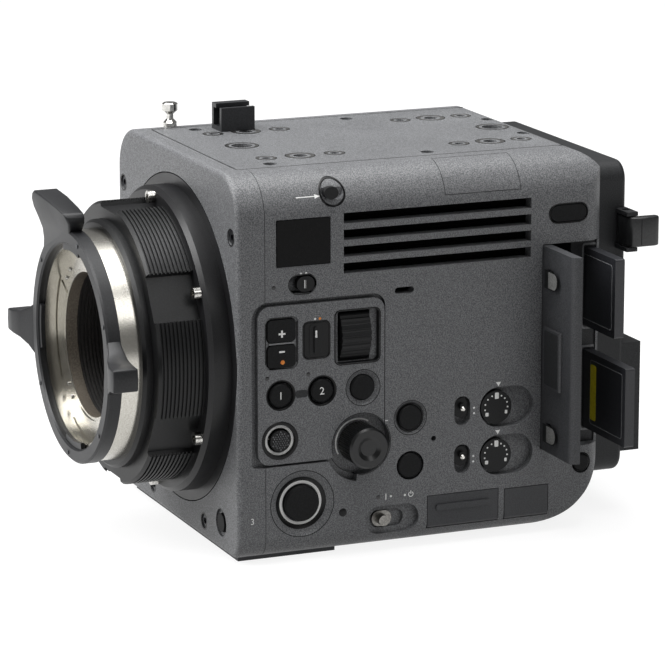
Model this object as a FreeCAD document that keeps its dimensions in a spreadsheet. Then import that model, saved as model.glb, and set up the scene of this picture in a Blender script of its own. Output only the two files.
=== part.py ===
import FreeCAD, Part

import os
import re

import Sketcher

# A cinema camera with an interchangeable-lens adaptor, built as separate pieces.
# The part's frame: +X is the operator's control side, -Y is the lens, +Z is up,
# and the origin is the mouth of the tripod hole in the base.
# Places along the camera are given as the distance behind the front face, called
# "back" below, and turned into Y by taking away origin_back.

doc = FreeCAD.newDocument("cinema_camera")
sheet = doc.addObject("Spreadsheet::Sheet", "Dims")

SIZES = {
    # Body shell
    "body_width": 125.0,
    "body_top": 142.5,
    "body_low": 2.0,
    "origin_back": 78.0,
    "front_depth": 10.5,
    "front_skin": 5.0,
    "side_back": 146.5,
    "wall": 5.0,
    "rear_wall": 2.3,
    "top_corner": 16.0,
    "low_corner": 8.0,
    "edge_round": 2.0,
    "post_r": 3.8,
    "rear_corner": 9.0,
    "heel_round": 33.0,
    "seam": 0.2,
    "top_half": 44.3,
    "top_thick": 6.0,
    "top_front": 7.0,
    "rear_top_round": 13.0,
    "lip_low": 126.0,
    "lip_thick": 4.0,
    "heel_back": "=side_back - 20.5",
    # Feet and tripod holes
    "pad_half": 54.0,
    "pad_back": 41.0,
    "pad_front": 3.0,
    "base_half": 38.0,
    "base_back": "=side_back - 22.5",
    "tripod_r": 3.97,
    "tripod_small_r": 2.55,
    "tripod_step": 20.0,
    "tripod_depth": 8.0,
    # Lens mount, on the optical axis
    "mount_up": 72.4,
    "disc_r": 61.0,
    "disc_thick": 3.0,
    "disc_gap": 0.4,
    "front_bore": 48.0,
    "ring_r": 57.0,
    "ring_depth": 8.3,
    "adaptor_r": 52.5,
    "adaptor_depth": 17.6,
    "adaptor_nose": 3.6,
    "nose_r": 46.0,
    "adaptor_bore": 33.0,
    "rib_count": 11,
    "rib_pitch": 1.5,
    "rib_start": 1.1,
    "rib_groove": 0.8,
    "rib_deep": 0.7,
    "flat_width": 17.0,
    "flat_r": 49.6,
    "flat_count": 6,
    "band_r": 42.8,
    "band_depth": 7.0,
    "seat_drop": 2.4,
    "throat_r": 27.0,
    "spigot_r": 37.95,
    "spigot_wall": 1.6,
    "spigot_depth": 2.6,
    "lock_r": 43.4,
    "lock_depth": 5.2,
    "lock_clear": 0.05,
    "lock_face_gap": 0.15,
    "lug_r": 35.6,
    "lug_width": 16.0,
    "lug_thick": 1.6,
    "lug_count": 4,
    "wing_r": 60.0,
    "wing_neck": 13.0,
    "wing_tip": 20.0,
    "wing_flare_r": 50.0,
    "wing_thick": 9.6,
    "wing_angle": 3.0,
    "wing_second": 105.0,
    "wing_third": 180.0,
    "screw_circle": 53.6,
    "screw_head_r": 2.3,
    "screw_head": 2.6,
    "screw_shank_r": 1.5,
    "screw_shank": 5.0,
    "socket_r": 1.2,
    "socket_deep": 1.6,
    "baffle_r": 32.8,
    "baffle_bore": 28.4,
    "baffle_length": 27.0,
    "baffle_rings": 8,
    "baffle_pitch": 3.0,
    "baffle_groove": 1.5,
    # Controls on the side: the plate that carries the upper ones
    "plate_front": 7.7,
    "plate_back": 57.0,
    "plate_low": 37.2,
    "plate_top": 95.6,
    "plate_thick": 2.5,
    "gap_front": 2.4,
    "gap_top": 1.6,
    "gap_low": 0.9,
    "gap_rear": 0.3,
    "gap_corner": 6.5,
    "plate_corner": 4.6,
    "cap_gap": 0.3,
    "cap_proud": 0.15,
    "cap_deep": 2.4,
    "well_deep": 3.6,
    "stem_r": 1.2,
    "stem_gap": 0.15,
    "stem_end": 8.9,
    "cap_round": 0.5,
    "ring_sink": 0.9,
    "ring_floor": 0.6,
    "rec_sink": 1.9,
    "rec_floor": 2.0,
    # Round buttons: place behind the front face, height, cap radius, ring radius
    "rec_at": 24.8,
    "rec_up": 21.6,
    "rec_r": 6.7,
    "rec_ring": 12.2,
    "one_at": 16.6,
    "one_up": 62.7,
    "one_r": 4.3,
    "one_ring": 5.8,
    "two_at": 32.6,
    "two_up": 63.0,
    "two_r": 4.3,
    "two_ring": 5.8,
    "disp_at": 48.6,
    "disp_up": 62.6,
    "disp_r": 4.7,
    "disp_ring": 6.5,
    "menu_at": "=plate_back + (bay_front - plate_back) * 0.165079",
    "menu_up": 49.5,
    "menu_r": 4.7,
    "menu_ring": 6.2,
    "back_at": "=menu_at",
    "back_up": 31.5,
    "back_r": 4.7,
    "back_ring": 5.4,
    "slot_at": "=side_back - 9.3",
    "slot_up": 25.3,
    "slot_r": 3.2,
    "slot_ring": 4.0,
    "three_side": 17.5,
    "three_x": "=body_width / 2 - three_side",
    "three_up": 12.6,
    "three_r": 3.4,
    "three_ring": 5.2,
    # Long and square buttons
    "clips_at": "=side_back - 16.1",
    "clips_up": 120.7,
    "clips_long": 14.6,
    "clips_high": 6.0,
    "step_at": 16.9,
    "step_long": 10.8,
    "step_high": 8.1,
    "plus_up": 86.5,
    "minus_up": 77.1,
    "step_round": 1.5,
    "frame_up": 81.9,
    "frame_long": 12.9,
    "frame_high": 19.2,
    "frame_round": 2.4,
    "frame_sink": 0.6,
    # Tilting selector
    "stick_at": 16.2,
    "stick_up": 46.0,
    "stick_r": 3.9,
    "stick_ring": 5.9,
    "stick_well": 4.5,
    "gimbal_r": 3.0,
    "gimbal_bore": 2.1,
    "gimbal_thick": 1.6,
    "gimbal_pin_r": 0.5,
    "gimbal_pin_seat": 0.8,
    "stick_neck": 1.2,
    # Slide switches
    "knob_deep": 2.2,
    "knob_proud": 0.2,
    "lock_at": 37.4,
    "lock_up": 135.2,
    "lock_bezel": 5.3,
    "focus_at": 25.0,
    "focus_up": 102.9,
    "mode_at": 30.4,
    "mode_up": 82.0,
    "mode_pocket_long": 9.8,
    "mode_pocket_high": 13.1,
    "mode_long": 4.8,
    "mode_high": 11.9,
    "mode_ahead": 0.4,
    "mode_rib": 1.3,
    "mode_corner": 1.8,
    "power_at": "=side_back * 0.4123",
    "power_up": 12.0,
    "power_deep": 2.2,
    "power_pin_r": 2.0,
    "power_proud": 1.4,
    "audio_at": "=plate_back + (bay_front - plate_back) * 0.495238",
    "audio_up": 50.0,
    "audio_drop": 18.2,
    # Turning controls
    "wheel_at": 45.8,
    "wheel_up": 81.9,
    "wheel_r": 12.0,
    "wheel_wide": 11.4,
    "wheel_proud": 1.4,
    "wheel_gap": 0.5,
    "wheel_ridges": 30,
    "wheel_recess_long": 17.0,
    "wheel_recess_high": 19.4,
    "wheel_recess_deep": 2.2,
    "wheel_shift": 0.6,
    "wheel_corner": 1.8,
    "axle_r": 1.5,
    "axle_clear": 0.05,
    "dial_at": 48.0,
    "dial_up": 41.6,
    "dial_r": 7.6,
    "dial_high": 11.4,
    "dial_proud": 7.8,
    "dial_dish": 1.1,
    "dial_teeth": 36,
    "dial_recess": 11.3,
    "dial_recess_deep": 4.0,
    "dial_bevel": 0.7,
    "dial_dish_low": 3.0,
    "dial_dish_r": 4.6,
    "dial_notch_r": 0.4,
    "scoop_r": 13.9,
    "scoop_deep": 3.4,
    "scoop_angle": 63.0,
    "dial_shaft_r": 3.0,
    "level_at": "=plate_back + (bay_front - plate_back) * 0.714286",
    "level_r": 6.2,
    "level_recess_back": "=bay_front - 3",
    "level_recess_high": 15.2,
    "level_recess_deep": 3.0,
    "level_high": 2.6,
    "level_ahead": 6.8,
    # Vents, badge and covers on the side
    "vent_front": 41.0,
    "vent_back": "=side_back - 31.2",
    "vent_top": 127.5,
    "vent_pitch": 6.1,
    "vent_high": 3.9,
    "vent_count": 4,
    "badge_at": 14.9,
    "badge_long": 21.0,
    "badge_low": 109.6,
    "badge_high": 17.2,
    "badge_sink": 0.8,
    "badge_thick": 1.1,
    "flap_front": 81.0,
    "flap_back": "=side_back - 35.1",
    "flap_low": 130.8,
    "flap_sink": 2.0,
    "speaker_at": 64.8,
    "speaker_up": 97.3,
    "speaker_long": 7.6,
    "speaker_high": 2.4,
    "sd_front": "=side_back * 0.5065",
    "sd_back": "=side_back * 0.7044",
    "sd_low": 6.6,
    "sd_top": 19.2,
    "cover_thick": 2.2,
    "cover_gap": 0.25,
    "jack_front": "=side_back * 0.7195",
    "jack_back": "=side_back * 0.8437",
    "jack_top": 18.6,
    "cover_pin_r": 0.4,
    "cover_pin_seat": 0.8,
    # Media bay, door and cards
    "bay_long": 26.5,
    "bay_front": "=side_back - bay_long",
    "bay_low": 32.0,
    "bay_top": 109.6,
    "bay_floor": 5.0,
    "ledge": 4.2,
    "door_thick": 3.6,
    "door_round": 3.0,
    "barrel_r": 1.6,
    "barrel_gap": 0.25,
    "door_gap": 0.3,
    "door_reach": 27.0,
    "pin_r": 0.7,
    "pin_clear": 0.06,
    "pin_seat": 2.5,
    "tab_low": 57.4,
    "tab_top": 79.6,
    "tab_from": 4.5,
    "tab_long": 14.0,
    "tab_proud": 1.2,
    "notch_r": 3.4,
    "notch_in": 6.3,
    "notch_run": 2.9,
    "notch_deep": 1.3,
    "notch_top": 97.9,
    "notch_low": 39.9,
    "card_long": 38.5,
    "card_high": 29.6,
    "card_thick": 3.8,
    "card_ahead": 6.7,
    "card_face": "=side_back - card_ahead",
    "card_a_low": 76.6,
    "card_b_low": 37.8,
    "card_rest_deep": 0.6,
    "card_a_out": 25.6,
    "card_b_out": 35.1,
    "card_fit": 0.15,
    "reader_deep": 12.5,
    "reader_front": "=side_back - reader_deep",
    # Rear
    "rear_step": 12.5,
    "rear_half": "=body_width / 2 - rear_step",
    "rear_low": 16.0,
    "rear_top": 135.5,
    "rear_deep": 14.0,
    "rear_back": "=side_back + rear_deep",
    "rear_round": 7.0,
    "block_low": 24.0,
    "block_top": 66.0,
    "block_deep": 7.5,
    "block_back": "=rear_back + block_deep",
    "battery_half": 36.0,
    "battery_low": 70.0,
    "battery_top": 128.0,
    "battery_thick": 8.0,
    "wedge_top_half": 22.0,
    "wedge_low_half": 12.0,
    "wedge_low": 78.0,
    "wedge_deep": 5.0,
    "lever_low": 105.0,
    "lever_high": 11.4,
    "lever_out": 11.0,
    "lever_ahead": 4.5,
    "lever_front": "=rear_back - lever_ahead",
    "lever_length": 13.3,
    "lever_gap": 0.6,
    "lever_side": 0.3,
    "lever_pin_r": 1.5,
    "ear_thick": 1.5,
    "contact_count": 5,
    "contact_pitch": 5.0,
    "bnc_r": 4.85,
    "bnc_collar_r": 6.2,
    "bnc_collar": 1.0,
    "bnc_length": 11.0,
    "bnc_pitch": 18.0,
    "bnc_count": 3,
    "bnc_x": -30.0,
    "bnc_up": 45.0,
    # Top
    "hole_half": 27.0,
    "hole_front": 38.7,
    "hole_rear": "=side_back - 31.5",
    "hole_mid_front": 26.5,
    "hole_mid_rear": "=side_back - 18",
    "hole_r": 2.55,
    "hole_big_r": 3.97,
    "small_r": 1.65,
    "small_a": 25.4,
    "small_b": 52.3,
    "small_c": "=side_back - 44.2",
    "small_d": "=side_back - 18.8",
    "hook_in": 3.7,
    "hook_x": "=-top_half - hook_in",
    "hook_at": 16.0,
    "hook_r": 3.0,
    "hook_foot_r": 2.6,
    "hook_seat": 0.7,
    "hook_neck": 1.35,
    "hook_high": 10.0,
    "clamp_x": -39.0,
    "clamp_wide": 10.0,
    "clamp_at": 29.6,
    "clamp_long": 13.5,
    "clamp_high": 10.0,
    "clamp_wall": 1.8,
    # Inside
    "filter_front": 5.3,
    "filter_thick": 5.0,
    "filter_half": 36.0,
    "filter_wide": "=body_width / 2 - 14.5",
    "window_half": 22.0,
    "window_up_half": 16.0,
    "sensor_back": 18.0,
    "sensor_half": 18.0,
    "sensor_up_half": 12.0,
    "chassis_back": 22.0,
    "chassis_thick": 4.0,
    "chassis_top": 130.0,
    "chassis_inset": 18.2,
    "chassis_half": "=body_width / 2 - chassis_inset",
    "arm_inset": 3.3,
    "arm_wide": 5.0,
    "arm_high": 6.0,
    "rail_wide": 5.0,
    "rail_low": 60.0,
    "rail_top": 68.0,
    "board_x": -30.0,
    "board_thick": 1.6,
    "board_inset": 12.9,
    "panel_board_x": "=body_width / 2 - board_inset",
    "fan_at": 61.0,
    "fan_up": 116.2,
    "fan_r": 15.5,
    "fan_hub_r": 7.0,
    "fan_wide": 8.0,
    "fan_inset": 15.5,
    "fan_x": "=body_width / 2 - fan_inset",
    "fan_blades": 7,
    "fan_shaft_r": 1.5,
    "sink_front": 80.0,
    "sink_back": 114.0,
    "sink_low": 102.0,
    "sink_top": 130.0,
    "sink_fins": 9,
    "sink_pitch": 3.6,
    "sink_fin": 1.2,
}

for row, (alias, size) in enumerate(SIZES.items(), start=1):
    sheet.set("A%d" % row, alias)
    sheet.set("B%d" % row, str(size))
    sheet.setAlias("B%d" % row, alias)
doc.recompute()

KEEP_WORDS = {"sin", "cos", "tan", "sqrt", "floor"}
NODES = []
FLAT = FreeCAD.Rotation()
ALONG_X = FreeCAD.Rotation(FreeCAD.Vector(0, 1, 0), 90)
ALONG_Y = FreeCAD.Rotation(FreeCAD.Vector(1, 0, 0), -90)


# Binding and basic solids

def size_of(alias):
    return float(sheet.get(alias))


def bind(obj, prop, text):
    """Ties a property to an expression in which plain words are sheet names."""
    linked = re.sub(r"[a-z_][a-z_0-9]*",
                    lambda m: m.group(0) if m.group(0) in KEEP_WORDS else "Dims." + m.group(0),
                    text)
    obj.setExpression(prop, linked)


def place(obj, x, back, z, turn=FLAT):
    obj.Placement = FreeCAD.Placement(FreeCAD.Vector(), turn)
    bind(obj, "Placement.Base.x", x)
    bind(obj, "Placement.Base.y", "(%s) - origin_back" % back)
    bind(obj, "Placement.Base.z", z)
    return obj


def block(name, x, back, z):
    """A box between three pairs of limits."""
    box = doc.addObject("Part::Box", name)
    bind(box, "Length", "(%s) - (%s)" % (x[1], x[0]))
    bind(box, "Width", "(%s) - (%s)" % (back[1], back[0]))
    bind(box, "Height", "(%s) - (%s)" % (z[1], z[0]))
    return place(box, x[0], back[0], z[0])


def rod(name, axis, x, back, z, radius, length):
    """A cylinder from a starting point along x, back or up."""
    cylinder = doc.addObject("Part::Cylinder", name)
    bind(cylinder, "Radius", radius)
    bind(cylinder, "Height", length)
    turn = {"x": ALONG_X, "back": ALONG_Y, "up": FLAT}[axis]
    return place(cylinder, x, back, z, turn)


def cone(name, axis, x, back, z, radius_start, radius_end, length):
    taper = doc.addObject("Part::Cone", name)
    bind(taper, "Radius1", radius_start)
    bind(taper, "Radius2", radius_end)
    bind(taper, "Height", length)
    turn = {"x": ALONG_X, "back": ALONG_Y, "up": FLAT}[axis]
    return place(taper, x, back, z, turn)


def join(name, parts):
    if len(parts) == 1:
        return parts[0]
    fused = doc.addObject("Part::MultiFuse", name)
    fused.Shapes = parts
    fused.Refine = True
    return fused


def gather(name, parts):
    group = doc.addObject("Part::Compound", name)
    group.Links = parts
    return group


def cut(name, base, tools):
    rest = doc.addObject("Part::Cut", name)
    rest.Base = base
    rest.Tool = join(name + "_tools", tools)
    rest.Refine = True
    return rest


def overlap(name, first, second):
    common = doc.addObject("Part::Common", name)
    common.Base = first
    common.Tool = second
    common.Refine = True
    return common


def pill(name, x, at, up, long, high, upright=False):
    """A stadium-shaped plug through the side, lying along the camera or standing."""
    radius = "(%s) / 2" % high
    run = "((%s) - (%s)) / 2" % (long, high)
    length = "(%s) - (%s)" % (x[1], x[0])
    if upright:
        ends = [(at, "%s - %s" % (up, run)), (at, "%s + %s" % (up, run))]
        middle = block(name + "_middle", x, ("%s - %s" % (at, radius), "%s + %s" % (at, radius)),
                       ("%s - %s" % (up, run), "%s + %s" % (up, run)))
    else:
        ends = [("%s - %s" % (at, run), up), ("%s + %s" % (at, run), up)]
        middle = block(name + "_middle", x, ("%s - %s" % (at, run), "%s + %s" % (at, run)),
                       ("%s - %s" % (up, radius), "%s + %s" % (up, radius)))
    rounds = [rod("%s_end_%d" % (name, i), "x", x[0], e[0], e[1], radius, length)
              for i, e in enumerate(ends)]
    return join(name, [middle] + rounds)


def node(obj, label):
    obj.Label = label
    NODES.append(obj)
    return obj


# PartDesign helpers

def new_body(name, up="0", back="0"):
    body = doc.addObject("PartDesign::Body", name)
    place(body, "0", back, up)
    return body


def plane_of(body, role):
    return [f for f in body.Origin.OriginFeatures if f.Role == role][0]


def outline(body, name, role, points):
    """A closed outline of straight lines whose corners are all tied to sizes."""
    sketch = body.newObject("Sketcher::SketchObject", name)
    sketch.AttachmentSupport = (plane_of(body, role), [""])
    sketch.MapMode = "FlatFace"
    count = len(points)
    spread = [FreeCAD.Vector(30, 0, 0)] * count
    spread = [FreeCAD.Rotation(FreeCAD.Vector(0, 0, 1), 360.0 * i / count).multVec(p)
              for i, p in enumerate(spread)]
    for i in range(count):
        sketch.addGeometry(Part.LineSegment(spread[i], spread[(i + 1) % count]), False)
    for i in range(count):
        sketch.addConstraint(Sketcher.Constraint("Coincident", i, 2, (i + 1) % count, 1))
    for i, (across, up) in enumerate(points):
        for kind, text in (("DistanceX", across), ("DistanceY", up)):
            index = sketch.addConstraint(Sketcher.Constraint(kind, -1, 1, i, 1, 1.0))
            bind(sketch, "Constraints[%d]" % index, text)
    return sketch


def turned(body, name, points):
    """Material turned about the body's Y axis from an outline of (back, radius)."""
    sketch = outline(body, name + "_outline", "YZ_Plane", points)
    solid = body.newObject("PartDesign::Revolution", name)
    solid.Profile = sketch
    solid.ReferenceAxis = (sketch, ["H_Axis"])
    solid.Angle = 360
    body.Tip = solid
    return solid


def padded_box(body, name, x, back, z):
    box = body.newObject("PartDesign::AdditiveBox", name)
    bind(box, "Length", "(%s) - (%s)" % (x[1], x[0]))
    bind(box, "Width", "(%s) - (%s)" % (back[1], back[0]))
    bind(box, "Height", "(%s) - (%s)" % (z[1], z[0]))
    bind(box, "Placement.Base.x", x[0])
    bind(box, "Placement.Base.y", back[0])
    bind(box, "Placement.Base.z", z[0])
    body.Tip = box
    return box


def edge_names(shape, test):
    return ["Edge%d" % (i + 1) for i, edge in enumerate(shape.Edges) if test(edge)]


def straight_along(edge, axis):
    ends = [v.Point for v in edge.Vertexes]
    if len(ends) < 2:
        return False
    step = ends[1] - ends[0]
    parts = {"x": abs(step.x), "y": abs(step.y), "z": abs(step.z)}
    along = parts.pop(axis)
    return along > 0.5 and max(parts.values()) < 1e-4


def rounded(body, name, radius, test):
    """Rounds the edges that a test picks, with a radius tied to a size."""
    doc.recompute()
    base = body.Tip
    fillet = body.newObject("PartDesign::Fillet", name)
    fillet.Base = (base, edge_names(base.Shape, test))
    bind(fillet, "Radius", radius)
    body.Tip = fillet
    return fillet


def rounded_block(name, x, back, z, rounds):
    """A box with some edges rounded: each is given by its direction and its sides."""
    body = new_body(name)
    box = padded_box(body, name + "_block", x, back, z)
    doc.recompute()
    low = dict(zip("xyz", box.Placement.Base))
    sizes = dict(zip("xyz", (box.Length.Value, box.Width.Value, box.Height.Value)))
    limits = {"low": low, "high": {axis: low[axis] + sizes[axis] for axis in "xyz"}}
    for i, (along, sides, radius) in enumerate(rounds):
        def wanted(edge):
            spot = dict(zip("xyz", middle_of(edge)))
            return straight_along(edge, along) and all(
                abs(spot[axis] - limits[side][axis]) < 0.01 for axis, side in sides.items())
        rounded(body, "%s_round_%d" % (name, i), radius, wanted)
    return body


def middle_of(edge):
    return edge.valueAt((edge.FirstParameter + edge.LastParameter) / 2)


HALF = "body_width / 2"


# Front panel: a cast cap with the round recess of the lens mount

def build_front_panel():
    body = new_body("front_cap")
    padded_box(body, "cap_block", ("-" + HALF, HALF), ("0", "front_depth"), ("body_low", "body_top"))
    top = size_of("body_top")
    low = size_of("body_low")
    rounded(body, "cap_top_corners", "top_corner",
            lambda e: straight_along(e, "y") and abs(middle_of(e).z - top) < 0.01)
    rounded(body, "cap_low_corners", "low_corner",
            lambda e: straight_along(e, "y") and abs(middle_of(e).z - low) < 0.01)
    rounded(body, "cap_front_edge", "edge_round",
            lambda e: all(abs(v.Point.y) < 0.01 for v in e.Vertexes))
    hollow = block("cap_hollow", ("-%s + wall" % HALF, HALF + " - wall"), ("front_skin", "front_depth + 1"),
                   ("body_low + wall", "body_top - top_thick - wall"))
    posts = [rod("cap_post_%d" % i, "back", x, "front_skin - 1", up, "post_r", "front_depth - front_skin + 1")
             for i, (x, up) in enumerate(FRONT_SCREWS)]
    recess = rod("cap_recess", "back", "0", "-1", "mount_up", "disc_r + disc_gap", "1 + disc_thick")
    bore = rod("cap_bore", "back", "0", "-1", "mount_up", "front_bore", "front_depth + 2")
    top_notch = block("cap_top_notch", ("-top_half - seam", "top_half + seam"),
                      ("top_front", "front_depth + 1"),
                      ("body_top - top_thick - seam", "body_top + 1"))
    plate_notch = rounded_block("cap_plate_notch", (HALF + " - plate_thick", HALF + " + 1"),
                                ("plate_front - gap_front", "front_depth + gap_corner"),
                                ("plate_low - gap_low", "plate_top + gap_top"),
                                [("x", {"y": "low", "z": "high"}, "gap_corner"),
                                 ("x", {"y": "low", "z": "low"}, "gap_low + 1")])
    ring = rod("cap_button_ring", "back", "three_x", "-1", "three_up", "three_ring", "1 + ring_sink")
    well = rod("cap_button_well", "back", "three_x", "-1", "three_up", "three_r + cap_gap", "1 + well_deep")
    stem = rod("cap_button_stem", "back", "three_x", "-1", "three_up", "stem_r + stem_gap", "front_depth + 2")
    tools = [recess, bore, top_notch, plate_notch, ring, well, stem]
    for i, (x, up) in enumerate(FRONT_SCREWS):
        tools.append(rod("cap_screw_seat_%d" % i, "back", x, "-1", up, "screw_head_r + 0.4",
                         "1 + screw_head"))
        tools.append(rod("cap_screw_hole_%d" % i, "back", x, "-1", up, "screw_shank_r",
                         "1 + screw_head + screw_shank"))
    shell = join("front_cap_shell", [cut("front_cap_hollowed", body, [hollow])] + posts)
    node(cut("front_cap_cut", shell, tools), "front_panel")


FRONT_SCREWS = [("56.5", "120.7"), ("-56.5", "120.7"), ("27.3", "8.6"), ("-27.3", "8.6")]
TOP_SCREWS = [("-38", "22.5"), ("-38", "84.5"), ("38", "84.5"), ("38", "22.5"), ("-16", "side_back - 12.5"),
              ("16", "side_back - 12.5")]


def envelope(name, inset="0"):
    """The body's rounded outer form, or the same form drawn in by a wall."""
    def less(text):
        return "%s - %s" % (text, inset)

    half = less(HALF)
    low = "body_low + %s" % inset
    front = rounded_block(name + "_front_view", ("-(%s)" % half, half), ("-1", "side_back + 1"),
                          (low, less("body_top")),
                          [("y", {"z": "high"}, less("top_corner")), ("y", {"z": "low"}, less("low_corner"))])
    side = rounded_block(name + "_side_view", ("-%s - 1" % HALF, HALF + " + 1"), ("-1", less("side_back")),
                         (low, less("body_top")),
                         [("x", {"y": "high", "z": "high"}, less("rear_top_round")),
                          ("x", {"y": "high", "z": "low"}, less("heel_round"))])
    plan = rounded_block(name + "_plan_view", ("-(%s)" % half, half), ("-1", less("side_back")),
                         ("0", "body_top + 1"), [("z", {"y": "high"}, less("rear_corner"))])
    form = doc.addObject("Part::MultiCommon", name)
    form.Shapes = [front, side, plan]
    form.Refine = True
    return form


def side_shell(name, sign):
    """A side cover cut from the outer form and hollowed, open towards the inside."""
    near, far = "top_half + seam", HALF + " + 1"
    x = (near, far) if sign > 0 else ("-(%s)" % far, "-(%s)" % near)
    slab = block(name + "_slab", x, ("front_depth + seam", "side_back + 1"), ("0", "body_top + 1"))
    return cut(name + "_hollowed", overlap(name + "_form", OUTER, slab), [INNER])


OUT = (HALF + " - wall - 1", HALF + " + 3")
COVER_X = HALF + " - cover_thick / 2"
COVER_UP = "sd_low + cover_gap + cover_thick / 2"
DOOR_X = HALF + " - barrel_r"
DOOR_BACK = "bay_front + barrel_gap + barrel_r"


def side_rod(name, at, up, radius, depth):
    """A round tool from above the side face down to a depth in it."""
    return rod(name, "x", "%s - (%s)" % (HALF, depth), at, up, radius, "(%s) + 3" % depth)


def side_dish(name, at, up, radius_low, radius_top, depth):
    """A dished tool in the side face, from its floor's radius to its mouth's."""
    slope = "(%s - %s) / (%s)" % (radius_top, radius_low, depth)
    return cone(name, "x", "%s - (%s)" % (HALF, depth), at, up, radius_low, "%s + %s" % (radius_top, slope),
                "(%s) + 1" % depth)


def softened(name, x, at, up, long, high, radius):
    """A rectangular plug through the side, with rounded corners."""
    return rounded_block(name, x, ("%s - (%s) / 2" % (at, long), "%s + (%s) / 2" % (at, long)),
                         ("%s - (%s) / 2" % (up, high), "%s + (%s) / 2" % (up, high)), [("x", {}, radius)])


ROUND_BUTTONS = [
    ("rec", "record_button"), ("one", "assign_button_1"), ("two", "assign_button_2"),
    ("disp", "display_button"), ("menu", "menu_button"), ("back", "back_button"),
    ("slot", "slot_button"),
]
PLATE_BUTTONS = {"one", "two", "disp"}
SCOOP_START = -71.0


def well_tools(where):
    """The wells, rings and stem holes of the controls, for the plate or the panel."""
    tools = []
    for key, _ in ROUND_BUTTONS:
        if where == "plate" and key not in PLATE_BUTTONS:
            continue
        at, up = key + "_at", key + "_up"
        tools.append(side_rod("%s_%s_well" % (where, key), at, up, key + "_r + cap_gap", "well_deep"))
        tools.append(side_rod("%s_%s_stem" % (where, key), at, up, "stem_r + stem_gap", "wall + 1"))
        sink, floor = ("rec_sink", "rec_floor") if key == "rec" else ("ring_sink", "ring_floor")
        tools.append(side_dish("%s_%s_ring" % (where, key), at, up, "(%s_r + %s)" % (key, floor),
                               key + "_ring", sink))
    deep_x = (HALF + " - well_deep", HALF + " + 3")
    for key in ("plus", "minus"):
        tools.append(softened("%s_%s_well" % (where, key), deep_x, "step_at", key + "_up",
                              "step_long + 2 * cap_gap", "step_high + 2 * cap_gap", "step_round + cap_gap"))
        tools.append(side_rod("%s_%s_stem" % (where, key), "step_at", key + "_up", "stem_r + stem_gap",
                              "wall + 1"))
    tools.append(softened(where + "_step_frame", (HALF + " - frame_sink", HALF + " + 3"), "step_at",
                          "frame_up",
                          "frame_long", "frame_high", "frame_round"))
    tools.append(side_rod(where + "_stick_well", "stick_at", "stick_up", "stick_well", "wall + 1"))
    tools.append(side_rod(where + "_stick_ring", "stick_at", "stick_up", "stick_ring", "ring_sink"))
    tools.append(side_rod(where + "_dial_well", "dial_at", "dial_up", "dial_recess", "dial_recess_deep"))
    scoop = side_rod(where + "_dial_scoop", "dial_at", "dial_up", "scoop_r", "scoop_deep")
    scoop.Placement.Rotation = ALONG_X.multiply(FreeCAD.Rotation(FreeCAD.Vector(0, 0, 1), SCOOP_START))
    bind(scoop, "Angle", "scoop_angle")
    tools.append(scoop)
    tools.append(softened(where + "_mode_track", (HALF + " - well_deep", HALF + " + 3"), "mode_at", "mode_up",
                          "mode_pocket_long", "mode_pocket_high", "mode_corner"))
    tools.append(softened(where + "_wheel_recess", (HALF + " - wheel_recess_deep", HALF + " + 3"),
                          "(wheel_at + wheel_shift)", "wheel_up", "wheel_recess_long", "wheel_recess_high",
                          "wheel_corner"))
    tools.append(rod(where + "_wheel_pocket", "back", HALF + " + wheel_proud - wheel_r",
                     "wheel_at - wheel_wide / 2 - wheel_gap", "wheel_up", "wheel_r + wheel_gap",
                     "wheel_wide + 2 * wheel_gap"))
    return tools


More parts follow.
